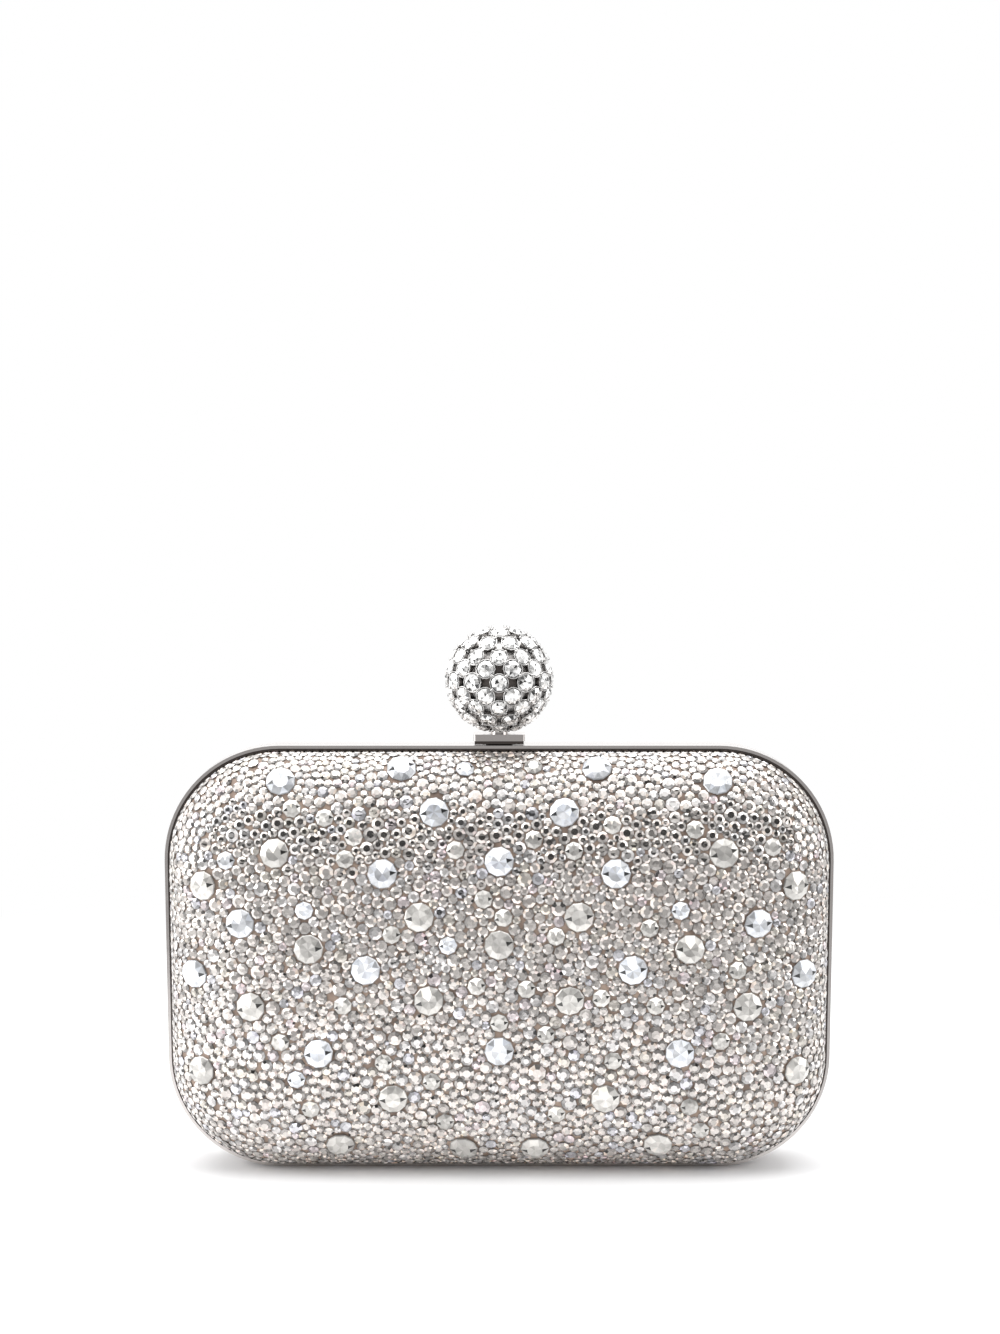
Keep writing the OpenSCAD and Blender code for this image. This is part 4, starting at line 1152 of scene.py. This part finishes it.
ball_seats = []
for middle, cloud in stone_islands("ball_cups"):
    square = (middle - BALL_MIDDLE).normalized()
    along = (cloud - np.array(BALL_MIDDLE)) @ np.array(square)
    beside = cloud - np.array(BALL_MIDDLE) - along[:, None] * np.array(square)
    across = np.linalg.norm(beside, axis=1)
    ball_seats.append((square, float(across.max()) / CAD_CUP_RADIUS))

one_cup = bmesh.new()
line = [one_cup.verts.new((r * MM, 0, z * MM)) for r, z in CUP_PROFILE]
edges = [one_cup.edges.new(pair) for pair in zip(line, line[1:])]
bmesh.ops.spin(one_cup, geom=line + edges, cent=(0, 0, 0), axis=(0, 0, 1), dvec=(0, 0, 0),
               angle=math.tau, steps=CUP_STEPS, use_merge=True)
bmesh.ops.remove_doubles(one_cup, verts=one_cup.verts, dist=SAME_POINT)
for bead in range(BEADS):
    turn = math.pi / BEADS + bead * math.tau / BEADS
    spot = Vector((math.cos(turn) * BEAD_OUT, math.sin(turn) * BEAD_OUT, BEAD_UP))
    bmesh.ops.create_icosphere(one_cup, subdivisions=1, radius=BEAD_RADIUS,
                               matrix=Matrix.Translation(spot))
bmesh.ops.recalc_face_normals(one_cup, faces=one_cup.faces)
cup_data = bpy.data.meshes.new("one_cup")
one_cup.to_mesh(cup_data)
one_cup.free()

cups = bmesh.new()
for square, share in ball_seats:
    before = len(cups.verts)
    cups.from_mesh(cup_data)
    cups.verts.ensure_lookup_table()
    upright = Vector((0, 0, 1)) if abs(square.z) < STEEP else Vector((1, 0, 0))
    side = upright.cross(square).normalized()
    turn = Matrix((side, square.cross(side), square)).transposed()
    stand = Matrix.Translation(BALL_MIDDLE + square * CORE_RADIUS) @ turn.to_4x4()
    bmesh.ops.transform(cups, verts=cups.verts[before:],
                        matrix=stand @ Matrix.Diagonal((share, share, share, 1)))
keep_piece(cups, "ball_cup_rims", bright_silver, "clasp", "cups", "ball_cups", smooth=True)

# %% Ball stones
BALL_STONE_RADIUS, BALL_WALL, BALL_CROWN, BALL_SEAT = 2.04 * MM, 0.38 * MM, 0.62 * MM, 0.72 * MM
# Ball facets get dim or lit painted shades, lit ones glowing above 1, and a few painted dark
# reflections.
BALL_LOOK = dict(sides=9, table=0.50, star=True, lit_share=0.84, lit_shades=(0.88, 1.42),
                 dark_reflection_share=0.07, tint=BALL_TINT)
ball_cuts = []
for square, share in ball_seats:
    ball_cuts.append((BALL_MIDDLE + square * (CORE_RADIUS + BALL_SEAT * share), square, dict(
        radius=BALL_STONE_RADIUS * share, wall=BALL_WALL * share, crown=BALL_CROWN * share,
        **BALL_LOOK)))
keep_piece(set_stones(ball_cuts), "ball_cut_stones", ball_stone, "clasp", "stones", "ball_stones")

# %% [markdown]
# ## Suede trays
# Each half is lined with suede over thin foam, glued into the shell. The tray is the CAD
# lining with its loose triangles joined. Its inner face is puffed by a tenth of a millimetre
# or two, unevenly, and one level of subdivision rounds its edge. A simulated sheet would lie
# the same way, because the foam holds it everywhere, so the shape is made directly.

# %% Suede trays
FOAM_PUFF, FOAM_SCALE, FOAM_BASE = 0.22 * MM, 70.0, 0.5


def suede_tray(side):
    """A soft lining in place of the CAD one."""
    made = merged_copy(f"{side}_lining")
    bmesh.ops.recalc_face_normals(made, faces=made.faces)
    made.normal_update()
    inner = [v for v in made.verts if v.normal.dot(v.co - Vector((0, 0, v.co.z))) < 0]
    for vert in inner:
        swell = FOAM_BASE + noise.noise(vert.co * FOAM_SCALE)
        vert.co += vert.normal * FOAM_PUFF * swell
    tray = keep_piece(made, f"{side}_suede_tray", grey_suede, f"{side}_half", "lining",
                      f"{side}_lining", smooth=True)
    soften = tray.modifiers.new("soften", "SUBSURF")
    soften.levels = soften.render_levels = 1
    return tray


trays = {side: suede_tray(side) for side in ("front", "rear")}

# %% [markdown]
# ## The pouch
# A flat pouch of plain-woven cloth is sewn to the rear tray along three edges. Its mouth has a
# turned hem. It is one sheet: where it is sewn it lies on the suede, and from there it rises
# to its own plane and bags a little at the mouth. A formula gives that shape for any place,
# so that cloth, hem and stitches all lie on it.

# %% Pouch shape
POUCH_LOW, POUCH_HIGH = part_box("rear_pocket")
POUCH_LIFT = 4.0 * MM
POUCH_PLANE = POUCH_LOW.y + 0.55 * MM
POUCH_THICK, POUCH_OVER_SUEDE = 0.45 * MM, 0.45 * MM
POUCH_BAG, POUCH_WRINKLE = 0.45 * MM, 0.25 * MM
WRINKLES_ACROSS, WRINKLES_UP, WRINKLE_SLICE = 55, 30, 2.0
lining_mesh = merged_copy("rear_lining")
lining_tree = BVHTree.FromBMesh(lining_mesh)


def smooth_step(value):
    """0 to 1 with soft ends."""
    value = min(max(value, 0.0), 1.0)
    return value * value * (3 - 2 * value)


def pouch_depth(x, z):
    """Distance of the pouch cloth from the parting plane."""
    floor = lining_tree.ray_cast(Vector((x, 0, z)), Vector((0, 1, 0)))[0].y
    seam = min(POUCH_HIGH.x - abs(x), z - POUCH_LOW.z)
    across = 1 - (x / POUCH_HIGH.x) ** 2
    up = (z - POUCH_LOW.z) / (POUCH_HIGH.z - POUCH_LOW.z)
    wrinkle = noise.noise(Vector((x * WRINKLES_ACROSS, z * WRINKLES_UP, WRINKLE_SLICE)))
    plane = POUCH_PLANE - POUCH_BAG * across * up ** 2 + POUCH_WRINKLE * wrinkle
    sewn = floor - POUCH_THICK - POUCH_OVER_SUEDE
    return sewn + (min(plane, sewn) - sewn) * smooth_step(seam / POUCH_LIFT)


print("pouch plane", round(POUCH_PLANE / MM, 2), "mm")

# %% Pouch cloth and hem
POUCH_COLUMNS, POUCH_ROWS = 42, 24
HEM_WIDTH, HEM_ROWS, HEM_OVER, HEM_THICK = 3.2 * MM, 4, 0.05 * MM, 0.30 * MM


def cloth_strip(z_low, z_high, rows, forward):
    """A grid of cloth between two heights, laid on the pouch's own surface."""
    made = bmesh.new()
    bmesh.ops.create_grid(made, x_segments=POUCH_COLUMNS, y_segments=rows, size=1.0)
    for vert in made.verts:
        x = vert.co.x * POUCH_HIGH.x
        z = z_low + (vert.co.y + 1) / 2 * (z_high - z_low)
        vert.co = Vector((x, pouch_depth(x, z) - forward, z))
    bmesh.ops.recalc_face_normals(made, faces=made.faces)
    if sum(f.normal.y for f in made.faces) > 0:
        bmesh.ops.reverse_faces(made, faces=made.faces)
    return made


pouch_mesh = cloth_strip(POUCH_LOW.z, POUCH_HIGH.z, POUCH_ROWS, 0.0)
POUCH_AREA = sum(f.calc_area() for f in pouch_mesh.faces)
print("pouch cloth", round(POUCH_AREA / MM ** 2), "square mm")
bmesh.ops.solidify(pouch_mesh, geom=pouch_mesh.faces, thickness=POUCH_THICK)
pouch = keep_piece(pouch_mesh, "rear_pouch_cloth", grey_cloth, "rear_half", "pocket",
                   "rear_pocket", smooth=True)
hem_mesh = cloth_strip(POUCH_HIGH.z - HEM_WIDTH, POUCH_HIGH.z, HEM_ROWS, HEM_OVER)
bmesh.ops.solidify(hem_mesh, geom=hem_mesh.faces, thickness=-HEM_THICK)
hem = keep_piece(hem_mesh, "rear_pouch_hem", grey_cloth, "rear_half", "pocket", smooth=True)

# %% Pouch stitches
STITCH_PITCH, STITCH_LONG, STITCH_THICK = 2.2 * MM, 1.4 * MM, 0.22 * MM
STITCH_OVER, HEM_STITCH_OVER = 0.1 * MM, 0.42 * MM
SEAM_IN, HEM_SEAM_IN = 1.2 * MM, 0.6 * MM


def stitch(mesh, x, z, over, along):
    """One short raised stitch that stands over the pouch at x and z."""
    place = Matrix.Translation((x, pouch_depth(x, z) - over, z))
    turn = Vector(along).to_track_quat("Z", "Y").to_matrix().to_4x4()
    shape = Matrix.Diagonal((STITCH_THICK, STITCH_THICK, STITCH_LONG / 2, 1))
    bmesh.ops.create_icosphere(mesh, subdivisions=2, radius=1.0, matrix=place @ turn @ shape)


stitches = bmesh.new()
side_x, low_z = POUCH_HIGH.x - SEAM_IN, POUCH_LOW.z + SEAM_IN
hem_z = POUCH_HIGH.z - HEM_WIDTH + HEM_SEAM_IN
for number in range(-int(side_x / STITCH_PITCH), int(side_x / STITCH_PITCH) + 1):
    x = number * STITCH_PITCH
    stitch(stitches, x, low_z, STITCH_OVER, (1, 0, 0))
    stitch(stitches, x, hem_z, HEM_STITCH_OVER, (1, 0, 0))
for number in range(1, int((POUCH_HIGH.z - low_z) / STITCH_PITCH)):
    z = low_z + number * STITCH_PITCH
    for x in (-side_x, side_x):
        stitch(stitches, x, z, STITCH_OVER, (0, 0, 1))
thread = keep_piece(stitches, "rear_pouch_stitches", pale_thread, "rear_half", "pocket",
                    smooth=True)
lining_mesh.free()
